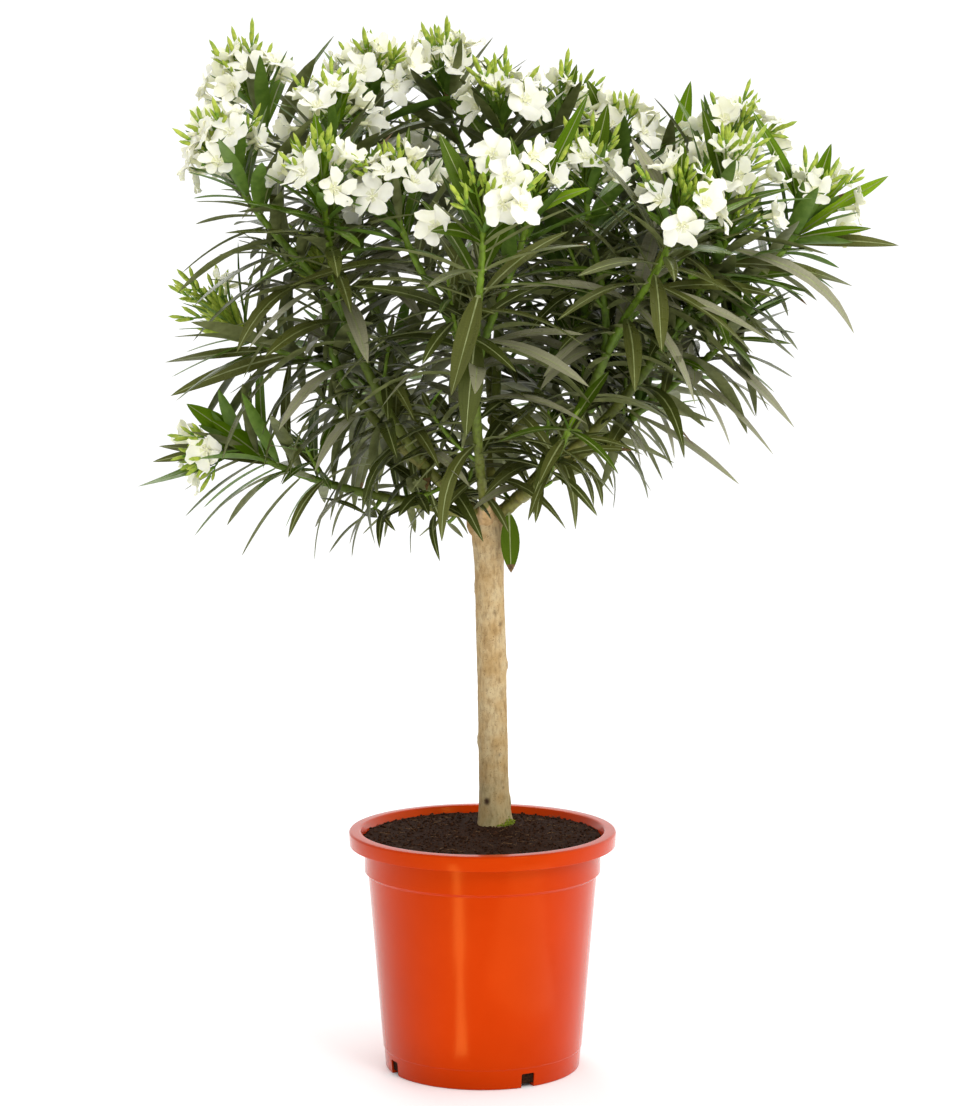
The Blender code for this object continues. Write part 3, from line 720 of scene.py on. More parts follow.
def makeMoss():
    # cushions of moss in the wet angle between the bark and the compost
    chance = random.Random(trunk["seed"])
    tufts = (*spindleShape(5), [])
    for _ in range(trunk["moss"]):
        turn = math.radians(chance.gauss(trunk["mossBearing"], 17))
        height = abs(chance.gauss(0, 0.0030)) * math.exp(-abs(math.degrees(turn) + 30) / 40)
        out = np.array([math.cos(turn), math.sin(turn), 0])
        radius = trunkRadius(trunkFoot[2] + height) + chance.uniform(-0.0010, 0.0012)
        place = trunkFoot + out * radius + up * height
        way = unit(out * chance.uniform(0.3, 1.2) + up + np.array([chance.uniform(-0.6, 0.6) for _ in range(3)]))
        thick = chance.uniform(0.0005, 0.0010)
        tufts[3].append(placed(place, way, (thick, thick, chance.uniform(0.0016, 0.0034))))
    moss = plantSurface("cushionMoss", ("#5f6f14", "#9aa82f"), 1.4, 0.9)
    addPiece("moss", joinCopies("moss", tufts), [moss], "foliage")


makeTrunk()
makeMoss()


# Limbs: the same rule as the solids', which everything on the crown grows from

growths = {
    # grows from, at what share of it, bearing, reach, top, rise, spread, first, lifts, blooms
    "left_low": ("trunk", 0.985, 177, 0.250, 0.608, 30, 0, 0, (0,), (2,)),
    "left_high": ("trunk", 0.970, -154, 0.198, 0.872, 70, 0.060, -62, (-0.030, 0.030, -0.002), (3, 3, 5)),
    "centre_front": ("trunk", 0.965, -96, 0.160, 0.822, 76, 0.072, -80, (-0.010, 0.006, 0.010), (0.4, 3, 4)),
    "right_high": ("trunk", 0.960, -32, 0.190, 0.838, 66, 0.076, -83, (-0.016, 0.012, 0.010), (3, 2, 2)),
    "back_right": ("trunk", 0.970, 38, 0.235, 0.886, 68, 0.062, -33, (0.004, -0.020, 0.005), (3, 3, 3)),
    "back_left": ("trunk", 0.960, 143, 0.205, 0.930, 70, 0.072, -45, (0.014, -0.010, 0.010), (4, 2, 4)),
    "centre": ("trunk", 1.000, 82, 0.095, 0.934, 84, 0.066, 150, (0.020, -0.014, -0.014), (4, 3, 2)),
    "left_mid": ("left_high", 0.22, -178, 0.206, 0.752, 44, 0.050, 157, (-0.026, 0.030), (0.35, 0)),
    "right_far": ("right_high", 0.24, -4, 0.246, 0.820, 52, 0.062, -110, (-0.013, 0.004, 0.020), (1, 2, 2)),
    "front_low": ("right_high", 0.13, -62, 0.160, 0.632, 40, 0, 0, (0,), (0,)),
    "right_low": ("back_right", 0.20, 6, 0.200, 0.690, 44, 0.056, -33, (0.045, -0.045), (0, 0)),
    "mid_right": ("centre", 0.16, 18, 0.095, 0.780, 72, 0.034, -60, (-0.025, 0.025), (0, 0)),
    "back": ("centre", 0.24, 92, 0.215, 0.860, 66, 0.070, 90, (-0.020, 0.010, 0.010), (3, 3, 0)),
    "back_low_left": ("back_left", 0.20, 125, 0.225, 0.680, 42, 0.060, 60, (0, 0.030), (0, 0)),
    "back_low_right": ("back_right", 0.25, 62, 0.225, 0.660, 42, 0.060, 10, (0.020, 0), (0, 0)),
}

limbs = {
    "pull": 0.36,
    "bareShare": 0.28,
    "leaveFlatter": 18,
    "leastLeave": 10,
    "shootLength": 0.150,
    "shootShare": 0.46,
    "shootStagger": 0.0023,
    "sideShare": 0.86,
    "boughTip": 0.0046,
    "stemTip": 0.0045,
    "shootRadius": 0.0039,
    "shootTip": 0.0027,
    "knobStep": 0.0120,
    "knob": 0.26,
    # the bark's grain: how often per metre, how deep
    "grain": ((160, 0.00022), (520, 0.00010)),
    # how old the bark looks at a bough's foot and end, and where a stem gives way to its shoots
    "boughAge": (0.84, 0.62),
    "stemAge": 0.66,
    "shootAge": 0.34,
    # radius at the foot, how much the collar adds, how fast that fades, and how far the buff bark reaches
    "foot": {"centre_front": (0.0043, 4.4, 0.0085, 0.038)},
    "usualFoot": (0.0057, 0.5, 0.008, 0.020),
}


def bearingVector(degrees, length):
    turn = math.radians(degrees)
    return np.array([math.cos(turn) * length, math.sin(turn) * length, 0])


def bent(start, end, leave, arrive, count=48):
    pull = np.linalg.norm(end - start) * limbs["pull"]
    return bezier(start, start + leave * pull, end - arrive * pull, end, count)


def inclined(flat, rise):
    angle = math.radians(rise)
    return unit(flat) * math.cos(angle) + up * math.sin(angle)


def growLines():
    axes = {"trunk": trunkLimb()}
    lines = {}
    for name, row in growths.items():
        source, share, bearing, reach, top, rise, spread, first, lifts, blooms = row
        parent = axes[source]
        start, _ = parent.at(parent.length * share)
        middle = fork + bearingVector(bearing, reach)
        middle[2] = top
        flat = (middle - start) * np.array([1, 1, 0])
        chord = math.degrees(math.atan2(middle[2] - start[2], np.linalg.norm(flat)))
        leave = max(limbs["leastLeave"], 2 * chord - rise - limbs["leaveFlatter"])
        axis = Limb(bent(start, middle, inclined(flat, leave), inclined(flat, rise)))
        axes[name] = axis
        bare = axis.length * limbs["bareShare"]
        count = len(lifts)
        hub = axis.length
        if count > 1:
            hub -= min(limbs["shootLength"], axis.length * limbs["shootShare"])
        shoots = []
        for i, lift in enumerate(lifts if count > 1 else ()):
            tip = middle + bearingVector(first + 360 * i / count, spread)
            tip[2] += lift
            root, way = axis.at(hub - limbs["shootStagger"] * (i + 1))
            straight = unit(tip - root)
            shoots.append(Limb(bent(root, tip, unit(way + straight), unit(straight + up * 0.7))))
        lines[name] = {"axis": axis, "bare": bare, "hub": hub, "shoots": shoots, "main": source == "trunk"}
    return lines


def greenBarkMaterial():
    # young oleander bark: olive and waxy on the old wood, fresh yellow-green towards the tips, with pale pores
    bark = Surface("waxyGreenBark", {"Roughness": 0.55, "Specular IOR Level": 0.35})
    age = bark.node("Attribute", "Fac", {"attribute_name": "age"})
    ages = (0.0, "#6f8c1c"), (0.30, "#587314"), (0.62, "#616b20"), (0.86, "#857f40"), (1.0, "#b9996a")
    cloud = bark.noise(5, 5)
    patches = bark.ramp(cloud, (0.32, "#b4a888"), (0.60, "#ffffff"))
    bark.feed("Base Color", bark.multiplied(0.7, bark.ramp(age, *ages), patches))
    bark.bump(cloud, 0.4, 0.0004)
    return bark.made


def limbRadius(foot, tip, total, ageFoot, ageTip, phase=0.0, collar=0.0, fade=0.008, woody=0.0):
    def radiusAt(distance, turn, out, place):
        share = distance / total
        knob = math.sin(math.pi * (distance / limbs["knobStep"] + phase)) ** 8
        swelling = 1 + limbs["knob"] * knob * max(0.35, 1 - abs(ageFoot + ageTip) / 2)
        grain = sum(noise.noise(Vector(place) * often) * depth for often, depth in limbs["grain"])
        radius = (foot + (tip - foot) * share) * swelling + grain
        radius *= 1 + collar * math.exp(-distance / fade)
        age = ageFoot + (ageTip - ageFoot) * share
        if woody and distance < woody + 0.003 * math.sin(turn + phase):
            # the pruned stub that a bough breaks from keeps the trunk's buff bark
            age = 1.0
            radius += 0.0007
        return radius, age

    return radiusAt


lines = growLines()
twigMaterial = greenBarkMaterial()


def makeBoughs():
    shape = bmesh.new()
    marks = shape.verts.layers.float.new("age")
    for name, line in lines.items():
        foot, collar, fade, woody = limbs["foot"].get(name, limbs["usualFoot"])
        if not line["main"]:
            foot, woody = foot * limbs["sideShare"], 0
        phase = len(name) * 0.3
        radiusAt = limbRadius(
            foot, limbs["boughTip"], line["bare"], *limbs["boughAge"], phase, collar, fade, woody
        )
        end = line["bare"] + 0.004
        sleeve(shape, line["axis"], 0, end, 20, max(16, int(end / 0.0016)), radiusAt, marks)
    nodes = ["bough_" + name for name in lines]
    addPiece("boughs", meshFrom(shape, "boughs", 60), [twigMaterial], "bough_bark", *nodes)


makeBoughs()


# Twigs: each mass's stem, its shoots, and the finer side twigs

twigs = {
    # where side twigs leave, as shares of a stem's bare length and of a shoot's length
    "stemFrom": 0.75,
    "shootFrom": (0.15, 0.55),
    "sideCount": 1,
    "sideShare": 0.4,
    "sideLength": (0.050, 0.085),
    "sideLean": 46,
    "sideRadius": 0.0021,
    "seed": 11,
    # short shoots near the fork: mass, how far along, which side, length
    "forkShoots": [
        ("left_low", 0.030, 60, 0.026),
        ("left_low", 0.052, 200, 0.030),
        ("left_low", 0.078, 330, 0.034),
        ("left_low", 0.104, 120, 0.036),
        ("left_high", 0.036, 250, 0.030),
        ("left_high", 0.060, 90, 0.034),
        ("right_high", 0.058, 160, 0.030),
        ("back_left", 0.040, 20, 0.030),
        ("back_right", 0.034, 200, 0.030),
    ],
    "forkLeaves": 0.50,
}


def squareTo(axis):
    level = np.cross(axis, up)
    if np.linalg.norm(level) < 0.05:
        level = np.cross(axis, [1, 0, 0])
    return unit(level)


def leaning(axis, turn, degrees):
    # a direction that leans away from an axis, towards the side that `turn` gives
    level = squareTo(axis)
    other = np.cross(axis, level)
    outward = level * math.cos(math.radians(turn)) + other * math.sin(math.radians(turn))
    angle = math.radians(degrees)
    return axis * math.cos(angle) + outward * math.sin(angle)


def growSideTwigs():
    chance = random.Random(twigs["seed"])
    for name, line in lines.items():
        line["sides"], line["stubs"] = [], []
        hosts = [(line["axis"], line["bare"] * twigs["stemFrom"], line["hub"], twigs["sideCount"])]
        low, high = twigs["shootFrom"]
        hosts += [(shoot, shoot.length * low, shoot.length * high, 1) for shoot in line["shoots"]]
        for host, low, high, count in hosts:
            for i in range(count):
                if host is not line["axis"] and chance.random() > twigs["sideShare"]:
                    continue
                root, way = host.at(low + (high - low) * (i + chance.uniform(0.2, 0.8)) / count)
                out = leaning(way, chance.uniform(0, 360), twigs["sideLean"] + chance.uniform(-8, 10))
                length = chance.uniform(*twigs["sideLength"])
                tip = root + out * length * 0.8 + up * length * 0.35
                line["sides"].append(Limb(bent(root, tip, out, unit(out + up * 1.1), 16)))
    for name, distance, turn, length in twigs["forkShoots"]:
        root, way = lines[name]["axis"].at(distance)
        out = leaning(way, turn, 70)
        lines[name]["stubs"].append(Limb(bent(root, root + (out + up * 0.3) * length, out, unit(out + up), 8)))


def makeTwigs():
    shape = bmesh.new()
    marks = shape.verts.layers.float.new("age")
    sideRadius, split = twigs["sideRadius"], limbs["shootAge"]

    def addTwig(line, around, step, *radii, **more):
        radiusAt = limbRadius(*radii[:2], line.length, *radii[2:], **more)
        sleeve(shape, line, 0, line.length, around, int(line.length / step), radiusAt, marks)

    for name, line in lines.items():
        stem = line["axis"].piece(line["bare"], line["hub"], 30)
        tip, tipAge = (limbs["stemTip"], split) if line["shoots"] else (limbs["shootTip"], 0.0)
        addTwig(stem, 12, 0.0024, limbs["boughTip"], tip, limbs["stemAge"], tipAge)
        for i, shoot in enumerate(line["shoots"]):
            radii = limbs["shootRadius"], limbs["shootTip"], split, 0.0
            addTwig(shoot, 10, 0.0024, *radii, phase=i * 0.37, collar=0.25)
        for side in line["sides"] + line["stubs"]:
            addTwig(side, 6, 0.005, sideRadius, sideRadius * 0.7, 0.3, 0.0, phase=0.2, collar=0.3)
    nodes = ["foliage_" + name for name in lines]
    addPiece("twigs", meshFrom(shape, "twigs", 60), [twigMaterial], "bough_bark", *nodes)


growSideTwigs()
makeTwigs()


# Leaves: in whorls of three, each a thin lance with a pale rib, bent under its own weight

leaf = {
    "length": 0.120,
    "width": 0.0172,
    "thickness": 0.0005,
    "keel": 0.0008,
    "rib": 0.0009,
    "petiole": 0.0012,
    "fold": 0.22,
    "stations": 10,
    "young": (0.34, 0.44, 0.58, 0.72, 0.86, 0.95),
    # only a twig that begins this near a tip has short young leaves, and only leaves this near one are still furled
    "youngUntil": 0.05,
    "furledUntil": 0.035,
    # where the first whorl stands, how far its leaves are staggered, and the gaps between whorls, young and old
    "firstWhorl": 0.003,
    "stagger": 0.0012,
    "step": (0.0055, 0.022),
    "stepReach": 0.13,
    "opening": (24, 48),
    "openingReach": 0.040,
    "twist": 0.45,
    "roll": 0.36,
    "sway": 0.22,
    "bend": (0.10, 1.34),
    "bendReach": 0.25,
    "bareShare": 0.45,
    "shed": 0.25,
    "shedFrom": 0.07,
    "shedReach": 0.14,
    # how much more, or less, some masses shed
    "thinner": {
        "back": 0.16, "centre": 0.14, "mid_right": 0.05, "back_low_left": 0.02, "back_low_right": 0.20,
        "left_low": -0.25, "left_mid": -0.20, "right_low": 0.10,
    },
    "skirtAt": (-0.33, -0.27, -0.22, -0.10, 0.00, 0.08, 0.13, 0.20, 0.30, 0.38),
    "skirt": (0.566, 0.544, 0.500, 0.508, 0.530, 0.545, 0.566, 0.580, 0.628, 0.710),
    # how far the leaves reach to the left and to the right, at these heights
    "edgeAt": (0.57, 0.60, 0.65, 0.70, 0.75, 0.77, 0.80, 0.84, 0.88, 0.95),
    "leftEdge": (-0.300, -0.340, -0.320, -0.290, -0.300, -0.280, -0.235, -0.245, -0.290, -0.270),
    "rightEdge": (0.240, 0.270, 0.290, 0.300, 0.310, 0.320, 0.350, 0.370, 0.330, 0.290),
    "ragged": 0.022,
    "strays": 0.01,
    # how often a leaf that reaches too far is cut back: its length, and the bend of one that hangs too low
    "sideTrims": 4,
    "sideCut": 0.87,
    "trims": 6,
    "trimCut": 0.84,
    "trimBend": 0.86,
    "scorched": 0.015,
    # the greens up to these distances from the tip are bud, fresh and firm ones
    "greenUpTo": (0.010, 0.032, 0.065),
    # the share of the oldest leaves that isn't pale grey-green, how much less it is to the right, and where that
    # begins: the extra pale grey-green to the right is painted sheen, where the light falls brighter from that side
    "ungreyed": 0.82,
    "paintedSheenToRight": 0.5,
    "paintedSheenFrom": 0.10,
    "paintedSheenOver": 0.12,
    # the middle stem's leaves part to the left and right
    "parted": ("centre_front",),
    "partedShare": 0.7,
    "partedWay": -0.62,
    # how strongly a leaf that stands out, and any other leaf, faces its stem
    "faced": 1.3,
    "usualFaced": 0.55,
    "seed": 3,
    # a shoot that rests ends in a star of grown leaves: mass, size
    "resting": {"front_low": 0.66},
    # leaves that stand out: mass, shoot, how far below its tip, bearing, rise, bend, length, width share, which green
    "leaders": [
        ("centre_front", 0, 0.000, 175, 66, 0.15, 0.094, 1.65, 2),
        ("centre_front", 0, 0.068, -118, -60, 0.30, 0.100, 1.50, 3),
        ("centre_front", 0, 0.122, -112, -70, 0.15, 0.098, 1.6, 4),
        ("centre_front", 0, 0.013, -140, 34, 1.30, 0.052, 1.6, 2),
        ("centre_front", 0, 0.010, -40, 40, 1.20, 0.050, 1.5, 2),
        ("centre_front", 1, 0.002, 4, 63, 0.20, 0.126, 0.95, 1),
        ("centre_front", 1, 0.004, -20, 34, 0.70, 0.066, 1.1, 0),
        ("centre_front", 1, 0.000, 150, 76, 0.10, 0.074, 1.1, 2),
        ("centre_front", 2, 0.000, 40, 74, 0.10, 0.078, 1.0, 2),
        ("centre", 2, 0.000, -10, 70, 0.10, 0.060, 1.1, 2),
        ("back_right", 2, 0.000, 188, 69, 0.15, 0.078, 1.35, 2),
        ("back_right", 1, 0.000, 20, 79, 0.10, 0.102, 1.2, 1),
        ("right_high", 2, 0.000, 0, 74, 0.08, 0.084, 1.4, 2),
        ("right_high", 0, 0.002, -30, 60, 0.15, 0.062, 1.3, 1),
        ("right_high", 0, 0.085, -20, -12, 0.55, 0.125, 0.8, 5),
        ("right_high", 1, 0.000, 160, 78, 0.12, 0.080, 1.1, 2),
        ("right_far", 1, 0.000, 180, 64, 0.20, 0.116, 0.95, 1),
        ("right_far", 1, 0.002, 0, 74, 0.10, 0.076, 1.25, 1),
        ("right_far", 1, 0.003, -8, 25, -0.12, 0.088, 1.1, 0),
        ("right_far", 1, 0.004, -4, 46, 0.05, 0.060, 0.8, 0),
        ("right_far", 1, 0.016, -30, 34, 0.05, 0.066, 0.7, 0),
        ("right_far", 1, 0.020, -60, 24, 0.10, 0.070, 0.8, 0),
        ("right_far", 1, 0.012, -80, 50, 0.05, 0.055, 0.7, 0),
        ("right_far", 1, 0.024, -20, 12, 0.15, 0.075, 0.8, 1),
        ("right_far", 1, 0.030, -12, 6, 0.35, 0.104, 0.9, 3),
        ("right_far", 0, 0.012, -8, -10, 1.15, 0.176, 0.55, 5),
        ("right_far", 0, 0.030, -2, 2, 0.60, 0.140, 0.9, 3),
        ("left_high", 2, 0.004, 175, 44, 0.20, 0.060, 1.2, 1),
        ("left_high", 0, 0.000, 110, 80, 0.15, 0.080, 1.2, 1),
        ("left_high", 1, 0.000, 20, 76, 0.10, 0.066, 1.1, 1),
        ("left_low", 0, 0.026, 190, 41, 0.10, 0.082, 1.7, 1),
        ("left_low", 0, 0.038, 200, 40, 0.12, 0.066, 1.8, 1),
        ("left_low", 0, 0.012, 184, -27, -0.34, 0.108, 1.1, 1),
        ("left_low", 0, 0.014, 178, -4, 0.10, 0.090, 0.8, 3),
        ("left_low", 0, 0.050, 178, 14, 0.30, 0.120, 0.9, 3),
        ("left_mid", 0, 0.060, 178, -2, 0.20, 0.112, 0.8, 3),
        ("left_mid", 0, 0.075, 176, -12, 0.30, 0.130, 0.8, 3),
        ("right_low", 0, 0.080, -10, -38, 0.25, 0.115, 0.6, 5),
        ("right_low", 1, 0.020, -8, -25, 0.35, 0.125, 0.6, 5),
        ("right_low", 0, 0.050, -30, -30, 0.40, 0.110, 0.9, 5),
        ("right_high", 0, 0.002, -165, 62, 0.15, 0.085, 1.20, 5),
        ("right_high", 0, 0.000, -62, 84, 0.10, 0.070, 1.30, 2),
        ("centre_front", 0, 0.004, -80, 86, 0.05, 0.072, 1.00, 4),
        ("centre_front", 1, 0.006, -50, 60, 0.10, 0.070, 1.20, 2),
    ],
    # broad leaves that hang beside the trunk: root, way, length, width share, which green, whether its tip is brown
    "hanging": [
        ((0.0255, 0.000, 0.543), (0.04, 0, -1), 0.060, 1.75, 2, 1),
        ((0.0235, 0.004, 0.541), (0.13, 0, -1), 0.050, 1.6, 4, 0),
    ],
    # masses whose young leaves are still furled, masses with narrow old leaves, and how wide the others' are
    "furled": {"left_mid": 0.5},
    "slim": {"left_low": 0.76},
    "usualSlim": 0.97,
    # leaves kept half as long, as their tips would poke through a petal: piece, which
    "clipped": {"leaves_right": (11,), "leaves_middle": (2, 6)},
    # how much the widths differ from leaf to leaf
    "widths": 0.18,
    "leastWidth": 0.94,
    # masses that stay green for longer, as a share of their age
    "fresher": {"left_low": 0.55, "right_far": 0.6},
}

# the greens, from the youngest leaves to the oldest: the blade, and its gloss's tint and level; the pale grey-green
# is partly the old leaves' own greyed tone and partly painted sheen
leafGreens = {
    "budGreenLeaf": ("#7c9c1e", "#a9b84a", 0.26),
    "freshGreenLeaf": ("#52700e", "#a3b244", 0.26),
    "firmGreenLeaf": ("#445a10", "#a8b25c", 0.28),
    "oliveGreenLeaf": ("#505425", "#e0e4a4", 0.36),
    "darkGreenLeaf": ("#3e4519", "#d6da98", 0.36),
    "greyGreenLeafWithPaintedSheen": ("#8a886c", "#f4f4e4", 0.36),
}


leafParts = {
    "paleLeafRib": (("#7a8250", "#939a66"), 8, 0.5),
    "mattLeafUnderside": (("#565c30", "#6a7042"), 9, 0.55),
    "freshLeafUnderside": (("#4e6b1f", "#637f2e"), 9, 0.5),
    "scorchedLeafTip": (("#4f3a22", "#7d6238"), 4, 0.7),
}


def leafMaterial(name, colour, gloss, shine):
    # a leathery leaf with a waxy cuticle: satin, with close parallel side veins
    blade = Surface(name, {"Specular IOR Level": shine, "Specular Tint": linear(gloss)})
    # streaks run along each blade, and differ from leaf to leaf
    across = blade.node("UVMap", "UV", {"uv_map": "blade"})
    grain = blade.node("Mapping", "Vector", {"Scale": (9, 1.6, 1)}, {"Vector": across})
    settings = {"operation": "MULTIPLY_ADD", 1: (12, 12, 12)}
    moved = blade.node("VectorMath", "Vector", settings, {0: blade.place, 2: grain})
    streak = blade.noise(1000, 3, moved)
    dark, light = ([c * share for c in linear(colour)[:3]] + [1] for share in (0.66, 1.34))
    tone = blade.node("Mix", 2, {"data_type": "RGBA", 6: dark, 7: light}, {0: streak})
    blade.bump(streak, 0.4, 0.0012)
    # the real side veins stand 1 mm apart, too fine to show, so they are drawn 3 mm apart
    settings = {"Scale": 12, "bands_direction": "Y", "Distortion": 0.6}
    veins = blade.node("TexWave", "Color", settings, {"Vector": across})
    blade.feed("Base Color", blade.multiplied(0.07, tone, veins))
    blade.feed("Roughness", blade.between(0.20, 0.38, blade.noise(14, 3)))
    return blade.made


def leafPrototype():
    # five corners round: two edges, the two sides of the rib, and the keel below
    shape = bmesh.new()
    stations = leaf["stations"]
    bmesh.ops.create_uvsphere(shape, u_segments=5, v_segments=stations, radius=1)
    station = np.array([round(math.acos(max(-1, min(1, -v.co.z))) / math.pi * stations) for v in shape.verts])
    corner = np.array([round(math.atan2(v.co.y, v.co.x) / math.tau * 5) % 5 for v in shape.verts])
    for face in shape.faces:
        ring = {int(corner[v.index]) for v in face.verts if 0 < station[v.index] < stations}
        first = min(station[v.index] for v in face.verts)
        if first == 0 or ring == {1, 2}:
            face.material_index = 1
        elif ring in ({3, 4}, {0, 4}):
            face.material_index = 2
    return station, corner, *asArrays(shape)[1:]


def eased(low, high, distance, reach):
    return low + (high - low) * min(1, distance / reach)


def growLeaves():
    chance = random.Random(leaf["seed"])
    forward = np.array([0.2, -1, 0])
    grown = {name: [] for name in lines}

    def addLeaf(name, root, way, axis, length, bend, **more):
        # spray and luck deal out the greens and faults, and tilt turns a leaf about its own length
        usual = {"age": 0, "spray": 1, "luck": 0, "green": None, "faced": leaf["usualFaced"]}
        grown[name].append({"root": root, "way": way, "axis": axis, "length": length, "bend": bend, **usual, **more})

    def addWhorls(name, limb, stop, aged, size, thin, turn=0.0, furled=1.0, parted=False, slim=1.0, fresher=1.0):
        fromTip = leaf["firstWhorl"]
        count = 0
        low, span = leaf["opening"]
        while fromTip < stop:
            age = fromTip + aged
            spray = chance.random()
            young = leaf["young"][count] if count < len(leaf["young"]) and aged < leaf["youngUntil"] else 1.0
            shed = thin + leaf["shed"] * clamped((age - leaf["shedFrom"]) / leaf["shedReach"])
            wide = furled if age < leaf["furledUntil"] else slim
            for i in range(3):
                place, axis = limb.at(limb.length - fromTip - leaf["stagger"] * i)
                opening = low + span * (1 - math.exp(-age / leaf["openingReach"])) + chance.uniform(-9, 9)
                way = leaning(axis, turn + 120 * i + chance.uniform(-14, 14), opening)
                bend = eased(*leaf["bend"], age, leaf["bendReach"]) * chance.uniform(0.6, 1.25)
                length = leaf["length"] * chance.uniform(0.84, 1.12) * young * size
                tilt, luck = chance.uniform(-1, 1), chance.random()
                isParted = parted and way[1] < leaf["partedWay"] and chance.random() < leaf["partedShare"]
                if (age < leaf["shedFrom"] or chance.random() > shed) and not isParted:
                    width = wide * (leaf["leastWidth"] + leaf["widths"] * tilt)
                    more = {"age": age * fresher, "spray": spray, "tilt": tilt, "luck": luck, "wide": width}
                    addLeaf(name, place, way, axis, length, bend, **more)
            turn += 60 + chance.uniform(-10, 10)
            count += 1
            fromTip += eased(*leaf["step"], age, leaf["stepReach"])

    for name, line in lines.items():
        thin = leaf["thinner"].get(name, 0)
        kind = {"slim": leaf["slim"].get(name, leaf["usualSlim"]), "fresher": leaf["fresher"].get(name, 1.0)}
        parted = name in leaf["parted"]
        furled = leaf["furled"].get(name, 1.0)
        for i, shoot in enumerate(line["shoots"]):
            addWhorls(name, shoot, shoot.length - 0.012, 0, 1.0, thin, i * 40, furled, parted, **kind)
        stem = line["axis"].piece(0, line["hub"], 60)
        aged = limbs["shootLength"] if line["shoots"] else 0
        size = leaf["resting"].get(name)
        if size:
            addWhorls(name, stem, 0.008, 0, size, -1)
            aged = 0.06
        bare = line["bare"] * leaf["bareShare"]
        addWhorls(name, stem, stem.length - bare, aged, size or 1.0, thin, parted=parted, **kind)
        for side in line["sides"]:
            addWhorls(name, side, side.length - 0.010, 0.034, 0.72, thin, chance.uniform(0, 120), **kind)
        for stub in line["stubs"]:
            addWhorls(name, stub, stub.length, 0.07, twigs["forkLeaves"], -1, chance.uniform(0, 120))
    for name, shoot, below, bearing, rise, bend, length, wide, green in leaf["leaders"]:
        host = (lines[name]["shoots"] or [lines[name]["axis"]])[shoot]
        place = host.at(host.length - below)[0]
        way = inclined(bearingVector(bearing, 1), rise)
        faced = leaf["faced"] if rise > -20 else 0.6
        tilt = chance.uniform(-0.6, 0.6)
        addLeaf(name, place, way, forward, length, bend, tilt=tilt, wide=wide, green=green, faced=faced)
    for root, way, length, wide, green, isDry in leaf["hanging"]:
        more = {"tilt": 0.1, "luck": isDry, "wide": wide, "green": green, "faced": 2.0}
        addLeaf("centre_front", np.array(root), unit(np.array(way, float)), forward, length, 0.12, **more)
    return grown


def leafGreen(row):
    # nearest the tips the leaves are bright, and the oldest are dark or pale grey-green; further to the right more of
    # them are pale grey-green, as painted sheen
    age, spray = row["age"], row["spray"]
    bud, fresh, firm = leaf["greenUpTo"]
    if row["green"] is not None:
        return row["green"]
    if age < bud:
        return 0
    if age < fresh:
        return 1 if spray < 0.7 else 2
    if age < firm:
        return 1 if row["luck"] < 0.06 else 2 if spray < 0.6 else 3
    # painted sheen: the share of pale grey-green leaves grows towards the right, where the light falls brighter
    toRight = clamped((row["root"][0] - leaf["paintedSheenFrom"]) / leaf["paintedSheenOver"])
    green = leaf["ungreyed"] - leaf["paintedSheenToRight"] * toRight
    if spray < 0.42 * green / leaf["ungreyed"]:
        return 3
    return 4 if spray < green * 0.96 else 5


def column(rows, name):
    return np.array([row[name] for row in rows])


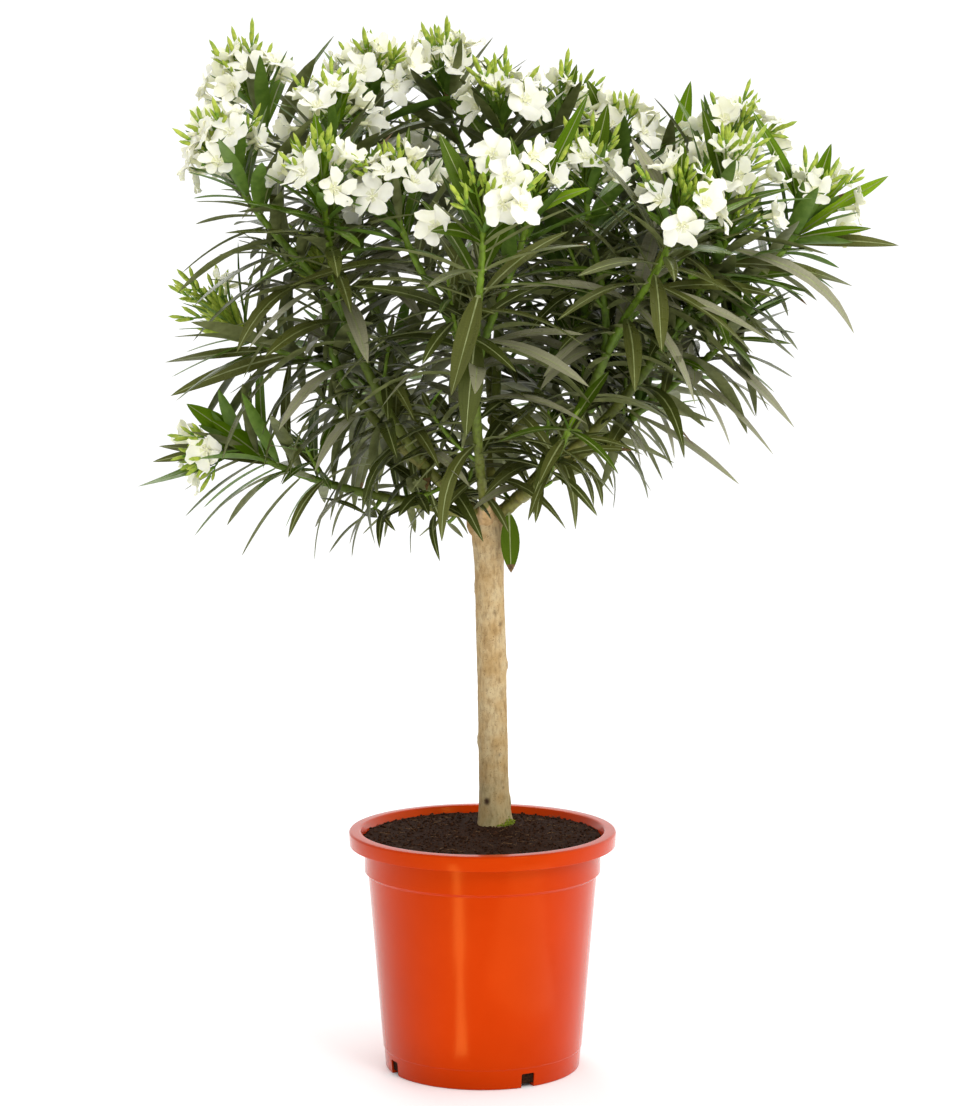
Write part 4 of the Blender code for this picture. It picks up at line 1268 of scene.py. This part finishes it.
def leafVerts(rows, station, corner):
    # works out every leaf of a piece at once: rows of leaves by stations by corners
    root, way, axis, length, bend, tilt, wide, faced = (
        column(rows, name) for name in ("root", "way", "axis", "length", "bend", "tilt", "wide", "faced")
    )
    way = unit(way)
    # a leaf turns its face to the sky as far as its stalk lets it
    adaxial = axis - way * (axis * way).sum(1, keepdims=True)
    skyward = up - way * (up * way).sum(1, keepdims=True)
    face = unit(unit(adaxial + 1e-6) * faced[:, None] + skyward)
    side = np.cross(face, way)
    roll = tilt[:, None] * leaf["roll"]
    face, side = face * np.cos(roll) + side * np.sin(roll), side * np.cos(roll) - face * np.sin(roll)
    count = leaf["stations"]
    t = np.arange(count + 1) / count
    s = 0.45 * t + 0.275 * (1 - np.cos(np.pi * t))
    bent = np.cumsum(np.concatenate([[0], np.diff(s)]) * (0.35 + 5.2 * s * (1 - s)))
    angle = bend[:, None] * (bent / bent[-1])[None, :]
    sway = (tilt[:, None] * leaf["sway"]) * s[None, :]
    tangent = (
        way[:, None, :] * (np.cos(angle) * np.cos(sway))[..., None]
        - face[:, None, :] * np.sin(angle)[..., None]
        + side[:, None, :] * np.sin(sway)[..., None]
    )
    steps = np.diff(s)[None, :, None] * length[:, None, None]
    middle = (tangent[:, 1:] + tangent[:, :-1]) / 2 * steps
    spine = root[:, None, :] + np.concatenate([np.zeros((len(rows), 1, 3)), np.cumsum(middle, axis=1)], axis=1)
    normal = unit(np.cross(tangent, np.repeat(side[:, None, :], count + 1, axis=1)))
    across = unit(np.cross(normal, tangent))
    twist = (np.sin(tilt * 9)[:, None] * leaf["twist"] * s[None, :])[..., None]
    across, normal = across * np.cos(twist) + normal * np.sin(twist), normal * np.cos(twist) - across * np.sin(twist)
    outline = s**0.8 * (1 - s) ** 0.9
    outline = outline / outline.max()
    width = leaf["width"] * wide * (length / leaf["length"]) ** 0.7
    half = np.maximum(outline[None, :] * width[:, None] / 2, leaf["petiole"] * (1 - t)[None, :])
    rib = np.minimum(leaf["rib"] * (1 - 0.7 * s)[None, :], half * 0.6)
    keel = (leaf["thickness"] + leaf["keel"] * (1 - s))[None, :] * np.ones_like(half)
    keel[:, -1] = 0
    x = np.stack([half, rib, -rib, -half, 0 * half], axis=2)
    # the blade folds up a little along its rib, less towards the tip
    lift = leaf["fold"] * (1 - 0.6 * s)[None, :] * half
    y = np.stack([lift, 0 * half + 0.00015, 0 * half + 0.00015, lift, -keel], axis=2)
    y[:, (0, -1), :] = 0
    x[:, (0, -1), :] = 0
    ring = spine[:, :, None, :] + across[:, :, None, :] * x[..., None] + normal[:, :, None, :] * y[..., None]
    return ring[:, station, corner, :], s[station], np.where(corner == 0, 1, np.where(corner == 3, 0, 0.5))


def trimLeaves(rows, station, corner):
    # a leaf that would hang below the crown's skirt stays shorter and stiffer, and is shed where that isn't enough
    isPlaced = np.array([row["green"] is not None for row in rows])
    for _ in range(leaf["sideTrims"]):
        verts = leafVerts(rows, station, corner)[0]
        tip = verts[:, station == leaf["stations"]][:, 0]
        past = tip[:, 0] < np.interp(tip[:, 2], leaf["edgeAt"], leaf["leftEdge"])
        past |= tip[:, 0] > np.interp(tip[:, 2], leaf["edgeAt"], leaf["rightEdge"])
        for i in np.flatnonzero(past & ~isPlaced):
            rows[i]["length"] *= leaf["sideCut"]
    for _ in range(leaf["trims"]):
        verts = leafVerts(rows, station, corner)[0]
        hem = np.interp(verts[..., 0].mean(axis=1), leaf["skirtAt"], leaf["skirt"])
        hem += leaf["ragged"] * column(rows, "tilt")
        low = verts[..., 2].min(axis=1) < hem
        low &= (column(rows, "luck") > leaf["strays"]) & ~isPlaced
        for i in np.flatnonzero(low):
            rows[i]["length"] *= leaf["trimCut"]
            rows[i]["bend"] *= leaf["trimBend"]
    return [row for row, isLow in zip(rows, low) if not isLow]


def makeLeaves():
    groups = {
        "leaves_left": ("left_low", "left_mid", "left_high", "back_left", "back_low_left"),
        "leaves_middle": ("centre_front", "front_low", "centre", "mid_right", "back"),
        "leaves_right": ("right_high", "right_far", "right_low", "back_right", "back_low_right"),
    }
    materials = [leafMaterial(name, *finish) for name, finish in leafGreens.items()]
    materials += [plantSurface(name, *finish) for name, finish in leafParts.items()]
    ribSlot, oldSlot, freshSlot, drySlot = range(len(leafGreens), len(materials))
    station, corner, faces, slots = leafPrototype()
    slots = np.array(slots)[None, :]
    atTip = np.array([station[face].min() >= leaf["stations"] - 2 for face in faces])
    grown = growLeaves()
    total = 0
    for name, masses in groups.items():
        rows = trimLeaves([row for mass in masses for row in grown[mass]], station, corner)
        for i in leaf["clipped"].get(name, ()):
            rows[i]["length"] *= 0.5
        verts, along, across = leafVerts(rows, station, corner)
        blade = np.array([leafGreen(row) for row in rows])[:, None]
        below = np.where(blade < 2, freshSlot, oldSlot)
        perLeaf = np.where(slots == 0, blade, np.where(slots == 1, ribSlot, below))
        dry = column(rows, "luck") > 1 - leaf["scorched"]
        perLeaf = np.where(dry[:, None] & atTip[None, :], drySlot, perLeaf)
        starts = range(0, len(rows) * verts.shape[1], verts.shape[1])
        mesh = bpy.data.meshes.new(name)
        mesh.from_pydata(verts.reshape(-1, 3), [], [[start + v for v in face] for start in starts for face in faces])
        mesh.polygons.foreach_set("material_index", perLeaf.reshape(-1).astype(np.int32))
        corners = np.array([v for face in faces for v in face])
        oneUv = np.stack([across[corners], along[corners]], axis=1)
        layer = mesh.uv_layers.new(name="blade")
        layer.data.foreach_set("uv", np.tile(oneUv, (len(rows), 1)).reshape(-1).astype(np.float32))
        addPiece(name, smoothed(mesh, 50), materials, "foliage", *["foliage_" + mass for mass in masses])
        total += len(rows)
    print(total, "leaves")


makeLeaves()


# Blossom: five-petalled pinwheels on slender tubes, with the buds and stalks that go with them

flower = {
    "reach": 0.0168,
    "halfWidths": (0.0086, 0.0094, 0.0070, 0.0090, 0.0078),
    "throat": 0.0026,
    "tube": 0.017,
    "petals": 5,
    "thickness": 0.00035,
    "shift": 0.22,
    "twist": 0.30,
    "ruffle": 0.0015,
    "throatReach": 0.0047,
    # a petal widens up to this share of its length, from this share of its width, and then rounds off over the last
    "widest": 0.66,
    "footWidth": 0.24,
    "endReach": 0.50,
    "cup": 0.0032,
    "reflex": 0.0030,
    "more": 2.8,
    "depth": (0.030, 0.046),
    "openness": (0.04, 0.18, 0.34, 0.50, 0.72),
    "branches": 7,
    "branchReach": (0.030, 0.054),
    "budsPerBranch": (3, 6),
    "budLength": (0.011, 0.022),
    "budThickness": (0.0010, 0.056),
    "stalks": {"flower": 0.0008, "bud": 0.0006, "branch": 0.0011},
    "golden": 137.5,
    # single flowers that face the front: place, way
    "lone": [
        ((-0.042, -0.200, 0.815), (-0.35, -1, 0.10)),
        ((0.0085, -0.225, 0.877), (-0.20, -1, 0.35)),
        ((0.0225, -0.232, 0.857), (0.25, -1, 0.10)),
        ((0.018, -0.239, 0.834), (0.30, -0.9, -0.35)),
        ((0.044, -0.215, 0.876), (0.50, -0.9, 0.30)),
    ],
    # trusses that lean out sideways
    "leans": {"left_low": (-0.85, -0.25, -0.40), "left_mid": (-0.66, -0.1, 0.72)},
    # flowers that have already dropped: mass, shoot, how many
    "dropped": {("left_low", 0): 3, ("centre_front", 1): 5},
    "tufted": ("left_mid",),
    "tuftBuds": 26,
    "tuftLength": (0.027, 0.050),
    "seed": 21,
}


def petalVertex(u, r, openness, phase, halfWidth):
    # u runs across the petal from -1 to 1, and r from its foot to its blunt, slanted end
    widest, foot = flower["widest"], flower["footWidth"]
    wide = foot + (1 - foot) * math.sin(math.pi / 2 * min(1, r / widest)) ** 1.3
    if r > widest:
        wide *= math.sqrt(max(0, 1 - ((r - widest) / flower["endReach"]) ** 2))
    out = flower["throat"] + flower["reach"] * (r + 0.12 * u * r * r - 0.12 * u * u * r**3)
    out += flower["ruffle"] * 0.7 * math.sin(u * 5.1 + phase) * r**3
    y = u * wide * halfWidth + flower["shift"] * flower["reach"] * r * r * 0.6
    wave = flower["ruffle"] * (math.sin(u * 3.6 + phase) * r * r + 0.9 * math.sin(r * 5 + phase * 2) * u)
    z = flower["cup"] * (1 - (1 - r) ** 2) + flower["twist"] * u * wide * halfWidth * (0.4 + 0.6 * r)
    z += wave - flower["reflex"] * r**3 + 0.0012 * u * u * r
    angle = openness * r
    return Vector((out * math.cos(angle) - z * math.sin(angle), y, out * math.sin(angle) + z * math.cos(angle)))


def flowerShape(openness, seed):
    chance = random.Random(seed)
    halfWidth = flower["halfWidths"][seed]
    shape = bmesh.new()
    for i in range(flower["petals"]):
        grid = bmesh.ops.create_grid(shape, x_segments=4, y_segments=5, size=1)["verts"]
        angle = openness + chance.uniform(-0.16, 0.16)
        phase = chance.uniform(0, 6)
        size = chance.uniform(0.92, 1.06)
        for vertex in grid:
            vertex.co = petalVertex(vertex.co.x, (vertex.co.y + 1) / 2, angle, phase, halfWidth) * size
        turn = Matrix.Rotation(math.tau * i / flower["petals"] + chance.uniform(-0.10, 0.10), 3, "Z")
        bmesh.ops.rotate(shape, verts=grid, cent=(0, 0, 0), matrix=turn)
    for face in shape.faces:
        face.material_index = 1 if face.calc_center_median().to_2d().length < flower["throatReach"] else 0
    bmesh.ops.solidify(shape, geom=shape.faces[:], thickness=flower["thickness"])

    def addCone(segments, low, high, depth, matrix, slot):
        cone = bmesh.ops.create_cone(
            shape, cap_ends=True, segments=segments, radius1=low, radius2=high, depth=depth, matrix=matrix
        )["verts"]
        for face in {f for v in cone for f in v.link_faces}:
            face.material_index = slot

    tube = flower["tube"]
    addCone(6, 0.0011, flower["throat"] + 0.0004, tube, Matrix.Translation((0, 0, 0.0006 - tube / 2)), 1)
    addCone(5, 0.0010, 0.0022, 0.006, Matrix.Translation((0, 0, 0.004 - tube)), 2)
    # the fringed crown in the throat
    lean = Matrix.Translation((0.0026, 0, 0.0020)) @ Matrix.Rotation(math.radians(24), 4, "Y")
    for i in range(flower["petals"]):
        turn = Matrix.Rotation(math.tau * (i + 0.5) / flower["petals"], 4, "Z")
        addCone(3, 0.0012, 0.0002, 0.0044, turn @ lean, 0)
    bmesh.ops.recalc_face_normals(shape, faces=shape.faces)
    return asArrays(shape)


def budShape():
    # a furled bud: slender, widest above its middle, in a green cup
    shape = bmesh.new()
    bmesh.ops.create_uvsphere(shape, u_segments=6, v_segments=6, radius=1)
    for vertex in shape.verts:
        share = (vertex.co.z + 1) / 2
        wide = 0.55 + 0.45 * math.sin(math.pi * min(1, share * 0.85)) if share < 0.72 else (1 - share) / 0.28
        flat = vertex.co.xy.normalized() * (wide if 0.01 < share < 0.99 else 0)
        flat = Matrix.Rotation(share * 1.6, 2) @ flat
        vertex.co = (flat.x, flat.y, share)
    for face in shape.faces:
        face.material_index = 0 if face.calc_center_median().z < 0.26 else 1
    return asArrays(shape)


def petalMaterial(name, dull, fresh):
    # a thin, moist petal: creamy white and softly satin, with light going a little way into it
    glow = {"Subsurface Weight": 0.50, "Subsurface Radius": (0.0022, 0.0022, 0.0014), "Subsurface Scale": 1.0}
    petal = Surface(name, {"Roughness": 0.6, "Specular IOR Level": 0.25, **glow})
    petal.feed("Base Color", petal.ramp(petal.noise(7, 3), (0.3, dull), (0.7, fresh)))
    # fine veins that run down a petal are 0.5 mm apart; drawn 1.5 mm apart they still only soften the light
    petal.bump(petal.noise(1.5), 0.25, 0.0003)
    return petal.made


def makeBlossom():
    chance = random.Random(flower["seed"])
    kinds = [(*flowerShape(openness, seed), []) for seed, openness in enumerate(flower["openness"])]
    buds = (*budShape(), [])
    golden, stalk = flower["golden"], flower["stalks"]
    stalks = bmesh.new()
    marks = stalks.verts.layers.float.new("age")

    def addStalk(start, end, way, radius):
        line = Limb(bent(np.array(start), np.array(end), way, unit(np.array(end) - np.array(start)), 8))
        radiusAt = limbRadius(radius, radius * 0.8, line.length, 0.12, 0.0)
        sleeve(stalks, line, 0, line.length, 4, 5, radiusAt, marks)

    def addFlower(node, axis, centre, way, hasDropped=False):
        size = chance.uniform(0.92, 1.10)
        turn = facing(way) @ Matrix.Rotation(chance.uniform(0, 6.28), 4, "Z")
        matrix = Matrix.Translation(centre) @ turn @ Matrix.Diagonal((size, size, size, 1))
        kind = kinds[chance.choice((0, 1, 1, 2, 2, 3, 3, 4))]
        if not hasDropped:
            kind[3].append(np.array(matrix))
            addStalk(node, centre - way * flower["tube"] * size, axis, stalk["flower"])

    def addBud(node, axis, way, stalkLength, length):
        foot = node + way * stalkLength
        addStalk(node, foot + way * 0.001, axis, stalk["bud"])
        least, share = flower["budThickness"]
        thick = least + length * share
        buds[3].append(placed(foot, way, (thick, thick, length)))

    def addTruss(tip, axis, flowers, dropped, tufted):
        first = chance.uniform(0, 360)
        for i in range(flowers):
            share = (i + 0.5) / flowers
            tilt = math.degrees(math.acos(1 - share * 0.95)) + chance.uniform(-7, 7)
            way = leaning(axis, first + golden * i, tilt)
            centre = tip + axis * 0.006 + way * chance.uniform(*flower["depth"])
            faced = unit(way + up * 0.10 + np.array([chance.uniform(-0.3, 0.3) for _ in range(3)]))
            node = tip + axis * (0.003 + 0.013 * chance.random())
            addFlower(node, axis, centre, faced, i >= flowers - dropped)
        for i in range(flower["branches"] if flowers else 0):
            lean = leaning(axis, first + 50 + golden * i, 4 + 7 * i + chance.uniform(-4, 4))
            end = tip + lean * chance.uniform(*flower["branchReach"])
            addStalk(tip - axis * 0.002, end, axis, stalk["branch"])
            for k in range(chance.randint(*flower["budsPerBranch"])):
                tilt = 0 if k == 0 else chance.uniform(16, 44)
                way = leaning(unit(end - tip), first + 50 * i + golden * k, tilt)
                length = chance.uniform(*flower["budLength"]) * (1.2 if k == 0 else 1)
                addBud(end - lean * 0.0035 * k, lean, way, chance.uniform(0.001, 0.006), length)
        # a shoot that isn't in flower yet ends in a brush of furled leaves and buds
        for k in range(flower["tuftBuds"] if tufted else 0):
            way = leaning(axis, first + golden * k, 6 + 34 * k / flower["tuftBuds"])
            addBud(tip - axis * 0.0012 * k, axis, way, 0.001, chance.uniform(*flower["tuftLength"]))
        return flowers - dropped

    count = 0
    for name, line in lines.items():
        shoots = line["shoots"] or [line["axis"]]
        for i, (shoot, blooms) in enumerate(zip(shoots, growths[name][9])):
            tip, axis = shoot.at(shoot.length)
            axis = unit(np.array(flower["leans"].get(name, axis), float))
            dropped = flower["dropped"].get((name, i), 0)
            count += addTruss(tip, axis, round(blooms * flower["more"]), dropped, name in flower["tufted"])
    for place, way in flower["lone"]:
        tip, axis = lines["centre_front"]["shoots"][0].at(1)
        addFlower(tip, axis, np.array(place), unit(np.array(way, float)))
    white = petalMaterial("whitePetal", "#f4f2d8", "#f8f6de")
    throat = petalMaterial("yellowGreenThroat", "#dcdcaa", "#e9e9c6")
    cup = plantSurface("greenCalyx", ("#5f8826", "#86a63a"), 3, 0.5)
    furled = plantSurface("furledBud", ("#7f9a28", "#b2bf48"), 6, 0.45)
    addPiece("blossom", joinCopies("blossom", *kinds), [white, throat, cup], "blossom")
    addPiece("buds", joinCopies("buds", buds), [cup, furled], "blossom")
    addPiece("flower_stalks", meshFrom(stalks, "stalks", 60), [twigMaterial], "foliage")
    print(count, "flowers,", len(buds[3]), "buds")


makeBlossom()
